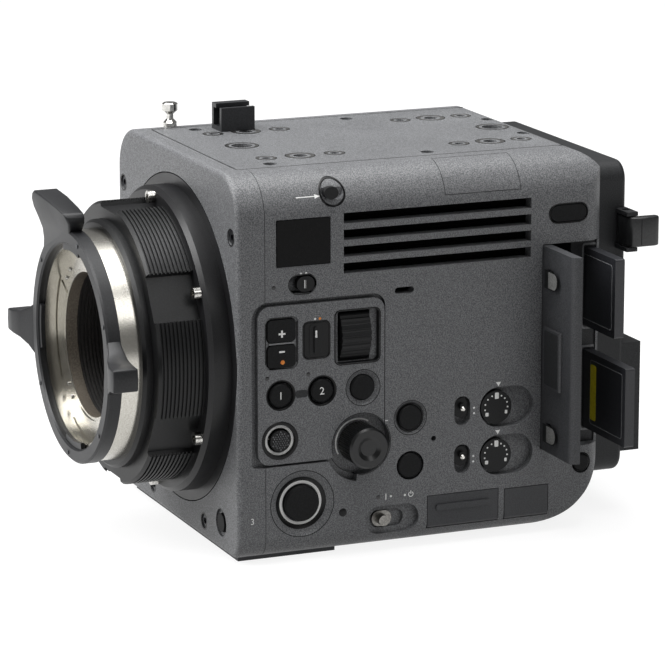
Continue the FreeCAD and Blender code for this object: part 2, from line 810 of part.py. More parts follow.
def build_control_side():
    body = side_shell("control_shell", 1)
    tools = well_tools("panel")
    tools.append(side_rod("panel_dial_shaft", "dial_at", "dial_up", "dial_shaft_r + axle_clear", "wall + 1"))
    tools.append(rounded_block("panel_plate_pocket", (HALF + " - plate_thick", HALF + " + 3"),
                               ("front_depth - 1", "plate_back + gap_rear"),
                               ("plate_low - gap_low", "plate_top + gap_top"),
                               [("x", {"y": "high", "z": "high"}, "plate_corner + gap_rear")]))
    for i in range(int(size_of("vent_count"))):
        top = "vent_top - %d * vent_pitch" % i
        tools.append(block("vent_%d" % i, OUT, ("vent_front", "vent_back"), (top + " - vent_high", top)))
    tools.append(block("badge_pocket", (HALF + " - badge_sink", HALF + " + 3"),
                       ("badge_at", "badge_at + badge_long"), ("badge_low", "badge_low + badge_high")))
    zone = block("flap_pocket_zone", ("top_half + 5", HALF + " + 3"), ("flap_front", "flap_back"),
                 ("flap_low", "body_top + 1"))
    tools.append(cut("flap_pocket", zone, [envelope("flap_floor", "flap_sink")]))
    deep = (HALF + " - well_deep", HALF + " + 3")
    tools.append(pill("speaker_slot", OUT, "speaker_at", "speaker_up", "speaker_long", "speaker_high"))
    tools.append(side_rod("lock_well", "lock_at", "lock_up", "lock_bezel", "1.2"))
    tools.append(pill("lock_track", deep, "lock_at", "lock_up", "8.4", "5.4"))
    tools.append(pill("focus_track", deep, "focus_at", "focus_up", "10.6", "6.6"))
    tools.append(pill("power_dish", (HALF + " - power_deep", HALF + " + 3"), "power_at", "power_up", "21",
                      "10.6"))
    tools.append(pill("power_track", deep, "power_at - 1.6", "power_up", "13.4", "6.6"))
    for i in range(2):
        up = "audio_up - %d * audio_drop" % i
        tools.append(pill("audio_track_%d" % i, deep, "audio_at", up, "11", "6.4", upright=True))
        tools.append(pill("level_dish_%d" % i, (HALF + " - level_recess_deep", HALF + " + 3"),
                          "(level_at - level_ahead + level_recess_back) / 2", up,
                          "level_recess_back - level_at + level_ahead", "level_recess_high"))
        tools.append(side_rod("level_shaft_%d" % i, "level_at", up, "dial_shaft_r + axle_clear", "wall + 1"))
    tools.append(pill("clips_well", deep, "clips_at", "clips_up", "clips_long + 2 * cap_gap",
                      "clips_high + 2 * cap_gap"))
    tools.append(side_rod("clips_stem", "clips_at", "clips_up", "stem_r + stem_gap", "wall + 1"))
    tools.append(side_rod("reset_hole", "76.7", "40.7", "1", "wall + 1"))
    tools.append(block("sd_pocket", (HALF + " - cover_thick - 0.4", HALF + " + 3"), ("sd_front", "sd_back"),
                       ("sd_low", "sd_top")))
    tools.append(block("sd_mouth", OUT, ("sd_front + 3", "sd_back - 3"), ("sd_low + 4.2", "sd_top - 4.6")))
    tools.append(block("jack_pocket", (HALF + " - cover_thick - 0.4", HALF + " + 3"),
                       ("jack_front", "jack_back"),
                       ("sd_low", "jack_top")))
    tools.append(side_rod("jack_hole", "(jack_front + jack_back) / 2", "(sd_low + jack_top) / 2", "2.6",
                          "wall + 1"))
    tools.append(rod("cover_pin_seats", "back", COVER_X, "sd_front - cover_pin_seat", COVER_UP,
                     "cover_pin_r + axle_clear", "jack_back - sd_front + 2 * cover_pin_seat"))
    tools.append(block("bay_ledge", (HALF + " - ledge", HALF + " + 3"), ("bay_front", "side_back + 1"),
                       ("bay_low", "bay_top")))
    tools.append(block("bay_hole", ("top_half - 2", HALF + " + 3"), ("bay_front", "side_back - rear_wall"),
                       ("bay_low", "bay_top")))
    tools.append(rod("door_pin_seat", "up", DOOR_X, DOOR_BACK, "bay_low - pin_seat", "pin_r",
                     "bay_top - bay_low + 2 * pin_seat"))
    tools.append(rod("gimbal_seat", "back", HALF + " - wall + gimbal_thick / 2",
                     "stick_at - stick_well - gimbal_pin_seat - 0.1", "stick_up", "gimbal_pin_r + axle_clear",
                     "2 * (stick_well + gimbal_pin_seat + 0.1)"))
    node(cut("control_shell_cut", body, tools), "control_side_panel")


def build_control_plate():
    body = new_body("plate_body")
    padded_box(body, "plate_block", (HALF + " - plate_thick", HALF), ("plate_front", "plate_back"),
               ("plate_low", "plate_top"))
    rounded(body, "plate_corners", "plate_corner",
            lambda e: straight_along(e, "x") and not (abs(middle_of(e).z - size_of("plate_low")) < 0.01
                                                      and middle_of(e).y > size_of("plate_back") / 2))
    node(cut("plate_cut", body, well_tools("plate")), "control_plate")


def build_round_buttons():
    for key, label in ROUND_BUTTONS:
        at, up = key + "_at", key + "_up"
        cap = rod(label + "_cap", "x", HALF + " - cap_deep", at, up, key + "_r",
                  "cap_deep + cap_proud - cap_round")
        crown = cone(label + "_crown", "x", HALF + " + cap_proud - cap_round", at, up, key + "_r",
                     key + "_r - cap_round", "cap_round")
        stem = rod(label + "_stem", "x", HALF + " - stem_end", at, up, "stem_r", "stem_end - cap_deep")
        node(join(label + "_join", [cap, crown, stem]), label)
    cap = rod("three_cap", "back", "three_x", "-cap_proud", "three_up", "three_r", "cap_proud + cap_deep")
    stem = rod("three_stem", "back", "three_x", "cap_deep", "three_up", "stem_r", "stem_end - cap_deep")
    node(join("three_join", [cap, stem]), "assign_button_3")


def build_shaped_buttons():
    x = (HALF + " - cap_deep", HALF + " + cap_proud")
    cap = pill("clips_cap", x, "clips_at", "clips_up", "clips_long", "clips_high")
    stem = rod("clips_pin", "x", HALF + " - stem_end", "clips_at", "clips_up", "stem_r",
               "stem_end - cap_deep")
    node(join("clips_join", [cap, stem]), "clips_button")
    for key, label in (("plus", "nd_plus_button"), ("minus", "nd_minus_button")):
        cap = softened(label + "_cap", x, "step_at", key + "_up", "step_long", "step_high", "step_round")
        stem = rod(label + "_stem", "x", HALF + " - stem_end", "step_at", key + "_up", "stem_r",
                   "stem_end - cap_deep")
        node(join(label + "_join", [cap, stem]), label)


def build_selector():
    """The thumb stick: a cap on a neck that tilts in a small gimbal ring."""
    pivot_x = HALF + " - wall + gimbal_thick / 2"
    ring = rod("gimbal_disc", "x", HALF + " - wall", "stick_at", "stick_up", "gimbal_r", "gimbal_thick")
    hole = rod("gimbal_hole", "x", HALF + " - wall - 1", "stick_at", "stick_up", "gimbal_bore",
               "gimbal_thick + 2")
    cross_holes = rod("gimbal_cross_holes", "up", pivot_x, "stick_at", "stick_up - gimbal_r",
                      "gimbal_pin_r + axle_clear", "2 * gimbal_r")
    reach = "stick_well + gimbal_pin_seat"
    pins = rod("gimbal_pins", "back", pivot_x, "stick_at - (%s)" % reach, "stick_up", "gimbal_pin_r",
               "2 * (%s)" % reach)
    pins_gap = rod("gimbal_pins_gap", "x", HALF + " - wall - 1", "stick_at", "stick_up", "gimbal_r - 0.4",
                   "gimbal_thick + 2")
    trunnions = cut("gimbal_trunnions", pins, [pins_gap])
    hoop = cut("gimbal_ring", ring, [hole, cross_holes])
    node(join("gimbal_join", [hoop, trunnions]), "selector_gimbal")
    neck = rod("stick_post", "x", HALF + " - wall - 0.4", "stick_at", "stick_up", "stick_neck", "wall + 0.4")
    cap = rod("stick_cap", "x", HALF + " - 1", "stick_at", "stick_up", "stick_r", "1.6")
    cross = rod("stick_cross", "up", pivot_x, "stick_at", "stick_up - gimbal_r + 0.3", "gimbal_pin_r",
                "2 * gimbal_r - 0.6")
    node(join("stick_join", [neck, cap, cross]), "selector_stick")


def build_switches():
    """Slide-switch knobs, most with a raised rib, at the end where the photo shows them."""
    x = (HALF + " - knob_deep", HALF + " + knob_proud")
    knob = pill("lock_knob", x, "lock_at - 1.2", "lock_up", "5.4", "4.4")
    node(knob, "lock_switch")
    knob = pill("focus_knob", x, "focus_at + 1.2", "focus_up", "6.8", "5.6")
    rib = block("focus_rib", (HALF + " - 0.2", HALF + " + 0.8"), ("focus_at + 0.9", "focus_at + 1.5"),
                ("focus_up - 1.6", "focus_up + 1.6"))
    node(join("focus_join", [knob, rib]), "focus_switch")
    knob_at = "(mode_at - mode_ahead)"
    knob = softened("mode_knob", x, knob_at, "mode_up", "mode_long", "mode_high", "mode_corner - 0.2")
    rib = pill("mode_rib_bar", (HALF + " - 0.2", HALF + " + 0.8"), knob_at, "mode_up", "mode_high - 2",
               "mode_rib",
               upright=True)
    node(join("mode_join", [knob, rib]), "nd_switch")
    slider = pill("power_slider", (HALF + " - well_deep + 0.2", HALF + " - power_deep"), "power_at - 3.4",
                  "power_up",
                  "7.8", "5.8")
    pin = rod("power_pin", "x", HALF + " - power_deep", "power_at - 3.9", "power_up", "power_pin_r",
              "power_deep + power_proud")
    node(join("power_join", [slider, pin]), "power_switch")
    for i in range(2):
        up = "audio_up - %d * audio_drop" % i
        slider = pill("audio_slider_%d" % i, (HALF + " - knob_deep - 0.6", HALF + " - 1.2"), "audio_at",
                      up + " + 0.8", "7.4", "5.4", upright=True)
        pin = rod("audio_pin_%d" % i, "x", HALF + " - 1.2", "audio_at", up + " + 1.6", "1.2", "1.8")
        node(join("audio_join_%d" % i, [slider, pin]), "audio_switch_%d" % (i + 1))


def build_wheel():
    """The variable-filter thumb wheel, with ridges along its rim and its own axle."""
    centre_x = HALF + " + wheel_proud - wheel_r"
    start = "wheel_at - wheel_wide / 2"
    rim = rod("wheel_rim", "back", centre_x, start, "wheel_up", "wheel_r", "wheel_wide")
    axle = rod("wheel_axle", "back", centre_x, "wheel_at - 7.5", "wheel_up", "axle_r", "15")
    grooves = []
    ridges = int(size_of("wheel_ridges"))
    for i in range(ridges):
        turn = 360.0 * i / ridges
        grooves.append(rod("wheel_groove_%d" % i, "back",
                           "%s + (wheel_r + 0.35) * cos(%.3f)" % (centre_x, turn), start + " - 1",
                           "wheel_up + (wheel_r + 0.35) * sin(%.3f)" % turn, "0.8", "wheel_wide + 2"))
    node(join("wheel_join", [cut("wheel_cut", rim, grooves), axle]), "nd_wheel")


def build_control_board():
    """The board behind the controls, with the two ears that carry the wheel's axle."""
    centre_x = HALF + " + wheel_proud - wheel_r"
    board = block("board_panel", ("panel_board_x - board_thick", "panel_board_x"), ("14", "bay_front - 6"),
                  ("10", "96"))
    window = block("board_window", ("panel_board_x - 9.6", HALF + " - 2.5"),
                   ("wheel_at - wheel_wide / 2 - 1", "wheel_at + wheel_wide / 2 + 1"),
                   ("wheel_up - wheel_r - 0.6", "97"))
    ears = []
    for i, start in enumerate(("wheel_at - 7.7", "wheel_at + 6.3")):
        ears.append(block("board_ear_%d" % i, ("panel_board_x", HALF + " - wall"), (start, start + " + 1.4"),
                          ("wheel_up - 4", "wheel_up + 4")))
    bore = rod("board_bore", "back", centre_x, "wheel_at - 9", "wheel_up", "axle_r + axle_clear", "18")
    node(cut("board_cut", join("board_join", [board] + ears), [window, bore]), "control_board")


def build_dials():
    """The main dial: a knurled knob with a dished face, then the two level dials."""
    base_x = HALF + " + dial_proud - dial_high"
    knob = rod("dial_knob", "x", base_x, "dial_at", "dial_up", "dial_r", "dial_high - dial_bevel")
    rim = cone("dial_rim", "x", HALF + " + dial_proud - dial_bevel", "dial_at", "dial_up", "dial_r",
               "dial_r - dial_bevel", "dial_bevel")
    shaft = rod("dial_shaft", "x", "panel_board_x + 0.4", "dial_at", "dial_up", "dial_shaft_r",
                "%s - panel_board_x - 0.4" % base_x)
    dish = cone("dial_dish_cut", "x", HALF + " + dial_proud - dial_dish", "dial_at", "dial_up",
                "dial_dish_low",
                "dial_dish_r", "dial_dish")
    teeth = []
    count = int(size_of("dial_teeth"))
    for i in range(count):
        turn = 360.0 * i / count
        teeth.append(rod("dial_notch_%d" % i, "x", base_x + " - 1",
                         "dial_at + (dial_r + 0.1) * cos(%.3f)" % turn,
                         "dial_up + (dial_r + 0.1) * sin(%.3f)" % turn, "dial_notch_r", "dial_high - dial_bevel"))
    node(cut("dial_cut", join("dial_join", [knob, rim, shaft]), [dish] + teeth), "menu_dial")
    for i in range(2):
        up = "audio_up - %d * audio_drop" % i
        base = HALF + " - level_recess_deep + 0.2"
        cap = rod("level_cap_%d" % i, "x", base, "level_at", up, "level_r", "level_high")
        shaft = rod("level_stalk_%d" % i, "x", "panel_board_x + 0.4", "level_at", up, "dial_shaft_r",
                    "%s - panel_board_x - 0.4" % base)
        node(join("level_join_%d" % i, [cap, shaft]), "audio_dial_%d" % (i + 1))


# The lens mount, turned about the optical axis

def build_mount_rings():
    body = new_body("disc_body", up="mount_up")
    turned(body, "disc_turn", [("0", "adaptor_bore"), ("disc_thick", "adaptor_bore"),
                               ("disc_thick", "disc_r"), ("0", "disc_r")])
    node(body, "mount_disc")
    body = new_body("ring_body", up="mount_up")
    turned(body, "ring_turn", [("-ring_depth", "adaptor_bore"), ("0", "adaptor_bore"), ("0", "ring_r"),
                               ("-ring_depth + 1.6", "ring_r"), ("-ring_depth", "ring_r - 1.6")])
    holes = [rod("ring_hole_%d" % i, "back", x, "-ring_depth - 1", z, "screw_shank_r + 0.05",
                 "screw_shank + 1.1")
             for i, (x, z) in enumerate(adaptor_screw_places())]
    node(cut("ring_cut", body, holes), "base_ring")


def adaptor_screw_places():
    count = int(size_of("flat_count"))
    turns = [30 + 360.0 * i / count for i in range(count)]
    return [("screw_circle * cos(%.3f)" % a, "mount_up + screw_circle * sin(%.3f)" % a) for a in turns]


def build_adaptor():
    """The adaptor barrel: ribbed raised pads between flats that clear its screws."""
    body = new_body("adaptor_barrel", up="mount_up")
    rear = "-ring_depth"
    front = "-ring_depth - adaptor_depth"
    nose = "-ring_depth - adaptor_depth - adaptor_nose"
    turned(body, "barrel_turn", [(nose, "adaptor_bore"), (rear, "adaptor_bore"), (rear, "adaptor_r"),
                                 (front + " + 1", "adaptor_r"), (front, "adaptor_r - 1"),
                                 (front, "nose_r"), (nose + " + 1.2", "nose_r"), (nose, "nose_r - 1.2")])
    start = front + " + rib_start"
    profile = outline(body, "rib_profile", "YZ_Plane",
                      [(start, "adaptor_r - rib_deep"), (start + " + rib_groove", "adaptor_r - rib_deep"),
                       (start + " + rib_groove", "adaptor_r + 1"), (start, "adaptor_r + 1")])
    groove = body.newObject("PartDesign::Groove", "rib_cut")
    groove.Profile = profile
    groove.ReferenceAxis = (profile, ["H_Axis"])
    groove.Angle = 360
    body.Tip = groove
    ribs = body.newObject("PartDesign::LinearPattern", "rib_row")
    ribs.Originals = [groove]
    ribs.Direction = (profile, ["H_Axis"])
    bind(ribs, "Length", "rib_pitch * (rib_count - 1)")
    bind(ribs, "Occurrences", "rib_count")
    body.Tip = ribs
    flat = outline(body, "flat_profile", "XZ_Plane",
                   [("flat_r", "-flat_width / 2"), ("adaptor_r + 2", "-flat_width / 2 - 2"),
                    ("adaptor_r + 2", "flat_width / 2 + 2"), ("flat_r", "flat_width / 2")])
    pocket = body.newObject("PartDesign::Pocket", "flat_cut")
    pocket.Profile = flat
    pocket.Type = "ThroughAll"
    pocket.Midplane = True
    body.Tip = pocket
    flats = body.newObject("PartDesign::PolarPattern", "flat_ring")
    flats.Originals = [pocket]
    flats.Axis = (plane_of(body, "Y_Axis"), [""])
    flats.Angle = 360
    bind(flats, "Occurrences", "flat_count")
    body.Tip = flats
    body.Placement.Rotation = FreeCAD.Rotation(FreeCAD.Vector(0, 1, 0), 30)
    node(body, "adaptor_body")


def build_adaptor_screws():
    screws = []
    for i, (x, z) in enumerate(adaptor_screw_places()):
        head = rod("adaptor_head_%d" % i, "back", x, "-ring_depth - screw_head", z, "screw_head_r",
                   "screw_head")
        socket = rod("adaptor_socket_%d" % i, "back", x, "-ring_depth - screw_head - 1", z, "socket_r",
                     "socket_deep + 1")
        shank = rod("adaptor_shank_%d" % i, "back", x, "-ring_depth", z, "screw_shank_r", "screw_shank")
        screws.append(join("adaptor_screw_%d" % i, [cut("adaptor_head_cut_%d" % i, head, [socket]), shank]))
    node(gather("adaptor_screw_set", screws), "adaptor_screws")


def build_lens_seat():
    """The bright seat: outer band, sunk flange face, throat and the lock ring's spigot."""
    rear = "-ring_depth - adaptor_depth - adaptor_nose"
    front = rear + " - band_depth"
    body = new_body("seat_body", up="mount_up")
    turned(body, "seat_turn", [(rear, "throat_r"), (rear, "band_r"), (front, "band_r"), (front, "spigot_r"),
                               (front + " - spigot_depth", "spigot_r"),
                               (front + " - spigot_depth", "spigot_r - spigot_wall"),
                               (front + " + seat_drop", "spigot_r - spigot_wall"),
                               (front + " + seat_drop", "throat_r")])
    node(body, "lens_seat")


def build_lock_ring():
    """The breech-lock ring: three wings outside and four ramps inside."""
    rear = "-ring_depth - adaptor_depth - adaptor_nose - band_depth - lock_face_gap"
    front = rear + " - lock_depth"
    inner = "spigot_r + lock_clear"
    body = new_body("lock_body", up="mount_up")
    turned(body, "lock_turn", [(rear, inner), (rear, "lock_r"), (front + " + 0.8", "lock_r"),
                               (front, "lock_r - 0.8"), (front, inner + " + 0.6"), (front + " + 0.6", inner)])
    wing = outline(body, "wing_profile", "XZ_Plane",
                   [("lock_r - 1.6", "-wing_neck / 2"), ("wing_flare_r", "-wing_neck / 2"),
                    ("wing_r", "-wing_tip / 2"), ("wing_r + 1.2", "0"), ("wing_r", "wing_tip / 2"),
                    ("wing_flare_r", "wing_neck / 2"), ("lock_r - 1.6", "wing_neck / 2")])
    wing.AttachmentOffset = FreeCAD.Placement()
    bind(wing, "AttachmentOffset.Base.z", "-(%s)" % rear)
    pad = body.newObject("PartDesign::Pad", "wing_pad")
    pad.Profile = wing
    bind(pad, "Length", "wing_thick")
    body.Tip = pad
    for name, angle in (("wing_two", "wing_second"), ("wing_three", "wing_third")):
        copy = body.newObject("PartDesign::PolarPattern", name)
        copy.Originals = [pad]
        copy.Axis = (plane_of(body, "Y_Axis"), [""])
        copy.Reversed = True
        bind(copy, "Angle", angle)
        copy.Occurrences = 2
        body.Tip = copy
    lug = outline(body, "lug_profile", "XZ_Plane",
                  [("lug_r", "-lug_width / 2"), ("lock_r - 2", "-lug_width / 2"),
                   ("lock_r - 2", "lug_width / 2"), ("lug_r", "lug_width / 2")])
    lug.AttachmentOffset = FreeCAD.Placement()
    bind(lug, "AttachmentOffset.Base.z", "-(%s) + spigot_depth + 0.1" % rear)
    ramp = body.newObject("PartDesign::Pad", "lug_pad")
    ramp.Profile = lug
    bind(ramp, "Length", "lug_thick")
    body.Tip = ramp
    ramps = body.newObject("PartDesign::PolarPattern", "lug_ring")
    ramps.Originals = [ramp]
    ramps.Axis = (plane_of(body, "Y_Axis"), [""])
    ramps.Angle = 360
    bind(ramps, "Occurrences", "lug_count")
    body.Tip = ramps
    body.Placement.Rotation = FreeCAD.Rotation(FreeCAD.Vector(0, 1, 0), -size_of("wing_angle"))
    node(body, "lock_ring")


def build_baffle():
    """The black tube behind the throat, with rings that kill stray light."""
    body = new_body("baffle_body", up="mount_up")
    front = "-ring_depth - adaptor_depth - adaptor_nose"
    rear = front + " + baffle_length"
    turned(body, "baffle_turn", [(front, "baffle_bore"), (rear, "baffle_bore"), (rear, "baffle_r"),
                                 (front, "baffle_r")])
    start = front + " + 1.5"
    profile = outline(body, "baffle_profile", "YZ_Plane",
                      [(start, "baffle_bore - 1"), (start + " + baffle_groove", "baffle_bore - 1"),
                       (start + " + baffle_groove", "baffle_bore + 1.6"), (start, "baffle_bore + 1.6")])
    groove = body.newObject("PartDesign::Groove", "baffle_cut")
    groove.Profile = profile
    groove.ReferenceAxis = (profile, ["H_Axis"])
    groove.Angle = 360
    body.Tip = groove
    rings = body.newObject("PartDesign::LinearPattern", "baffle_row")
    rings.Originals = [groove]
    rings.Direction = (profile, ["H_Axis"])
    bind(rings, "Length", "baffle_pitch * (baffle_rings - 1)")
    bind(rings, "Occurrences", "baffle_rings")
    body.Tip = rings
    node(body, "light_baffle")


# Top, base and assistant's side

def top_hole_places():
    big = [("-hole_half", "hole_front"), ("hole_half", "hole_front"), ("-hole_half", "hole_rear"),
           ("hole_half", "hole_rear")]
    middle = [("0", "hole_mid_front"), ("0", "hole_mid_rear")]
    small = [(side, at) for side in ("-hole_half", "hole_half")
             for at in ("small_a", "small_b", "small_c", "small_d")]
    return big, middle, small


def build_top_plate():
    slab = block("top_slab", ("-top_half", "top_half"), ("top_front + seam", "side_back + 1"),
                 ("lip_low", "body_top + 1"))
    under = block("top_under", ("-top_half - 1", "top_half + 1"), ("0", "side_back - lip_thick"),
                  ("lip_low - 1", "body_top - top_thick"))
    plate = overlap("top_form", OUTER, slab)
    big, middle, small = top_hole_places()
    tools = [under]
    for i, (x, at) in enumerate(big):
        tools.append(rod("top_hole_%d" % i, "up", x, at, "body_top - top_thick - 1", "hole_r",
                         "top_thick + 2"))
    for i, (x, at) in enumerate(middle):
        tools.append(rod("top_big_%d" % i, "up", x, at, "body_top - top_thick - 1", "hole_big_r",
                         "top_thick + 2"))
    for i, (x, at) in enumerate(small):
        tools.append(rod("top_small_%d" % i, "up", x, at, "body_top - 4", "small_r", "5"))
    for i, (x, at) in enumerate(TOP_SCREWS):
        tools.append(rod("top_seat_%d" % i, "up", x, at, "body_top - screw_head + 0.6", "screw_head_r + 0.2",
                         "screw_head + 1"))
        tools.append(rod("top_bore_%d" % i, "up", x, at, "body_top - top_thick - 1", "screw_shank_r + 0.1",
                         "9"))
    node(cut("top_cut", plate, tools), "top_plate")


def build_body_screws():
    """The socket screws of the front panel and the top plate."""
    screws = []
    for i, (x, up) in enumerate(FRONT_SCREWS):
        head = rod("front_head_%d" % i, "back", x, "0.5", up, "screw_head_r", "screw_head - 0.5")
        socket = rod("front_socket_%d" % i, "back", x, "-1", up, "socket_r", "1 + socket_deep")
        shank = rod("front_shank_%d" % i, "back", x, "screw_head", up, "screw_shank_r", "screw_shank")
        screws.append(join("front_screw_%d" % i, [cut("front_head_cut_%d" % i, head, [socket]), shank]))
    for i, (x, at) in enumerate(TOP_SCREWS):
        head = rod("top_head_%d" % i, "up", x, at, "body_top - screw_head + 0.6", "screw_head_r",
                   "screw_head - 1.2")
        socket = rod("top_socket_%d" % i, "up", x, at, "body_top - socket_deep", "socket_r", "3")
        shank = rod("top_shank_%d" % i, "up", x, at, "body_top - screw_head + 0.6 - 3.3", "screw_shank_r",
                    "3.3")
        screws.append(join("top_screw_%d" % i, [cut("top_head_cut_%d" % i, head, [socket]), shank]))
    node(gather("screw_set", screws), "body_screws")


def build_base_plate():
    """The base: floor, front foot pad, centre foot and the tripod holes."""
    slab = block("base_slab", ("-top_half", "top_half"), ("front_depth + seam", "heel_back"),
                 ("body_low", "body_low + wall"))
    floor = overlap("base_floor", OUTER, slab)
    pad = block("base_pad", ("-pad_half", "pad_half"), ("pad_front", "pad_back"), ("0", "body_low"))
    centre = block("base_centre", ("-base_half", "base_half"), ("pad_back - 1", "base_back"),
                   ("0", "body_low + 1"))
    boss = block("base_boss", ("-12", "12"), ("origin_back - tripod_step - 8",
                                              "origin_back + tripod_step + 8"),
                 ("body_low + wall - 1", "tripod_depth + 2"))
    tools = [rod("tripod_main", "up", "0", "origin_back", "-1", "tripod_r", "tripod_depth + 1"),
             rod("tripod_small", "up", "0", "origin_back + tripod_step", "-1", "tripod_small_r",
                 "tripod_depth + 1"),
             rod("tripod_fore", "up", "0", "origin_back - tripod_step", "-1", "tripod_small_r",
                 "tripod_depth + 1")]
    node(cut("base_cut", join("base_join", [floor, pad, centre, boss]), tools), "base_plate")


def build_assistant_side():
    body = side_shell("assistant_shell", -1)
    inside = ("-%s - 3" % HALF, "-%s + wall + 1" % HALF)
    tools = []
    for i in range(int(size_of("vent_count"))):
        top = "vent_top - %d * vent_pitch" % i
        tools.append(block("intake_%d" % i, inside, ("vent_front", "vent_back - 20"),
                           (top + " - vent_high", top)))
    tools.append(rod("hook_seat_cut", "up", "hook_x", "hook_at", "body_top - hook_seat", "hook_foot_r", "3"))
    tools.append(block("connector_recess", ("-%s - 3" % HALF, "-%s + 2" % HALF),
                       ("side_back - 50.5", "side_back - 10.5"), ("30", "96")))
    node(cut("assistant_cut", body, tools), "assistant_side_panel")


LEVER_X = "rear_half + lever_gap + 3"
LEVER_BACK = "lever_front + 2.5"


def build_rear():
    """The black rear casting: its flange in the shell, the housing and its lower block."""
    flange = overlap("rear_flange", OUTER,
                     block("rear_flange_slab", ("-top_half", "top_half"),
                           ("side_back - lip_thick", "side_back"),
                           ("body_low", "lip_low - seam")))
    relief = block("rear_relief", ("-top_half - 1", "top_half + 1"),
                   ("side_back - lip_thick - 1", "side_back - rear_wall"), ("bay_low - 1", "lip_low"))
    heel = block("rear_heel", ("-top_half", "top_half"), ("heel_back + seam", "side_back"),
                 ("rear_low", "bay_low - 1"))
    body = new_body("rear_case")
    padded_box(body, "rear_case_block", ("-rear_half", "rear_half"), ("side_back", "rear_back"),
               ("rear_low", "rear_top"))
    back = size_of("rear_back")
    rounded(body, "rear_case_corners", "rear_round", lambda e: straight_along(e, "y"))
    rounded(body, "rear_case_edges", "edge_round",
            lambda e: all(abs(v.Point.y - back) < 0.01 for v in e.Vertexes))
    lower = block("rear_lower_block", ("-rear_half + 4", "rear_half - 1"), ("rear_back - 3", "block_back"),
                  ("block_low", "block_top"))
    tools = [block("rear_battery_seat", ("-battery_half", "battery_half"), ("rear_back - 2", "rear_back + 1"),
                   ("battery_low", "battery_top"))]
    for i in range(int(size_of("bnc_count"))):
        tools.append(rod("rear_bnc_hole_%d" % i, "back", "bnc_x + %d * bnc_pitch" % i, "block_back - 3",
                         "bnc_up",
                         "bnc_collar_r", "6"))
    ear_x = ("rear_half - 2", "rear_half + lever_gap + lever_out - 2")
    ear_back = ("lever_front", "rear_back")
    ears = [block("lever_ear_low", ear_x, ear_back, ("lever_low - lever_side - ear_thick",
                                                     "lever_low - lever_side")),
            block("lever_ear_top", ear_x, ear_back, ("lever_low + lever_high + lever_side",
                                                     "lever_low + lever_high + lever_side + ear_thick"))]
    tools.append(relief)
    tools.append(rod("lever_pin_bore", "up", LEVER_X, LEVER_BACK, "lever_low - 10",
                     "lever_pin_r + axle_clear",
                     "lever_high + 20"))
    case = join("rear_case_join", [body, lower, flange, heel] + ears)
    node(cut("rear_case_cut", case, tools), "rear_housing")


def build_battery_plate():
    """The wedge plate that takes a battery, open at the top."""
    plate = block("battery_slab", ("-battery_half", "battery_half"),
                  ("rear_back - 2", "rear_back - 2 + battery_thick"), ("battery_low", "battery_top"))
    body = new_body("wedge_tool")
    sketch = outline(body, "wedge_outline", "XZ_Plane",
                     [("-wedge_low_half", "wedge_low"), ("wedge_low_half", "wedge_low"),
                      ("wedge_top_half", "battery_top + 1"), ("-wedge_top_half", "battery_top + 1")])
    sketch.AttachmentOffset = FreeCAD.Placement()
    bind(sketch, "AttachmentOffset.Base.z", "-(rear_back - 1 + battery_thick)")
    pad = body.newObject("PartDesign::Pad", "wedge_pad")
    pad.Profile = sketch
    bind(pad, "Length", "wedge_deep + 1")
    body.Tip = pad
    node(cut("battery_cut", plate, [body]), "battery_plate")
    contacts = []
    for i in range(int(size_of("contact_count"))):
        x = "(%d - (contact_count - 1) / 2) * contact_pitch" % i
        contacts.append(block("contact_%d" % i, (x + " - 0.8", x + " + 0.8"),
                              ("rear_back - 2 + battery_thick - wedge_deep",
                               "rear_back - 2 + battery_thick - wedge_deep + 2.5"),
                              ("wedge_low + 6", "wedge_low + 14")))
    node(gather("contact_set", contacts), "battery_contacts")


def build_battery_lever():
    """The battery release lever, on an upright pin in two ears of the housing's side."""
    x0, x1 = "rear_half + lever_gap", "rear_half + lever_gap + lever_out"
    top = "lever_low + lever_high"
    arm = block("lever_arm", (x0, x1), ("lever_front", "lever_front + 5"), ("lever_low", top))
    head = block("lever_head", (x1 + " - 4", x1), ("lever_front + 4", "lever_front + lever_length"),
                 ("lever_low", top))
    pin = rod("lever_pin", "up", LEVER_X, LEVER_BACK, "lever_low - lever_side - ear_thick", "lever_pin_r",
              "lever_high + 2 * (lever_side + ear_thick)")
    node(join("lever_join", [arm, head, pin]), "battery_lever")


def build_connectors():
    shells = []
    for i in range(int(size_of("bnc_count"))):
        x = "bnc_x + %d * bnc_pitch" % i
        collar = rod("bnc_collar_%d" % i, "back", x, "block_back - 3", "bnc_up", "bnc_collar_r",
                     "3 + bnc_collar")
        tube = rod("bnc_tube_%d" % i, "back", x, "block_back - 3", "bnc_up", "bnc_r", "bnc_length")
        bore = rod("bnc_bore_%d" % i, "back", x, "block_back - 1", "bnc_up", "bnc_r - 0.9", "bnc_length")
        pin = rod("bnc_pin_%d" % i, "back", x, "block_back - 2", "bnc_up", "0.7", "bnc_length - 3")
        shell = cut("bnc_shell_%d" % i, join("bnc_body_%d" % i, [tube, collar]), [bore])
        shells.append(join("bnc_%d" % i, [shell, pin]))
    node(gather("bnc_set", shells), "video_connectors")


# Things on the top

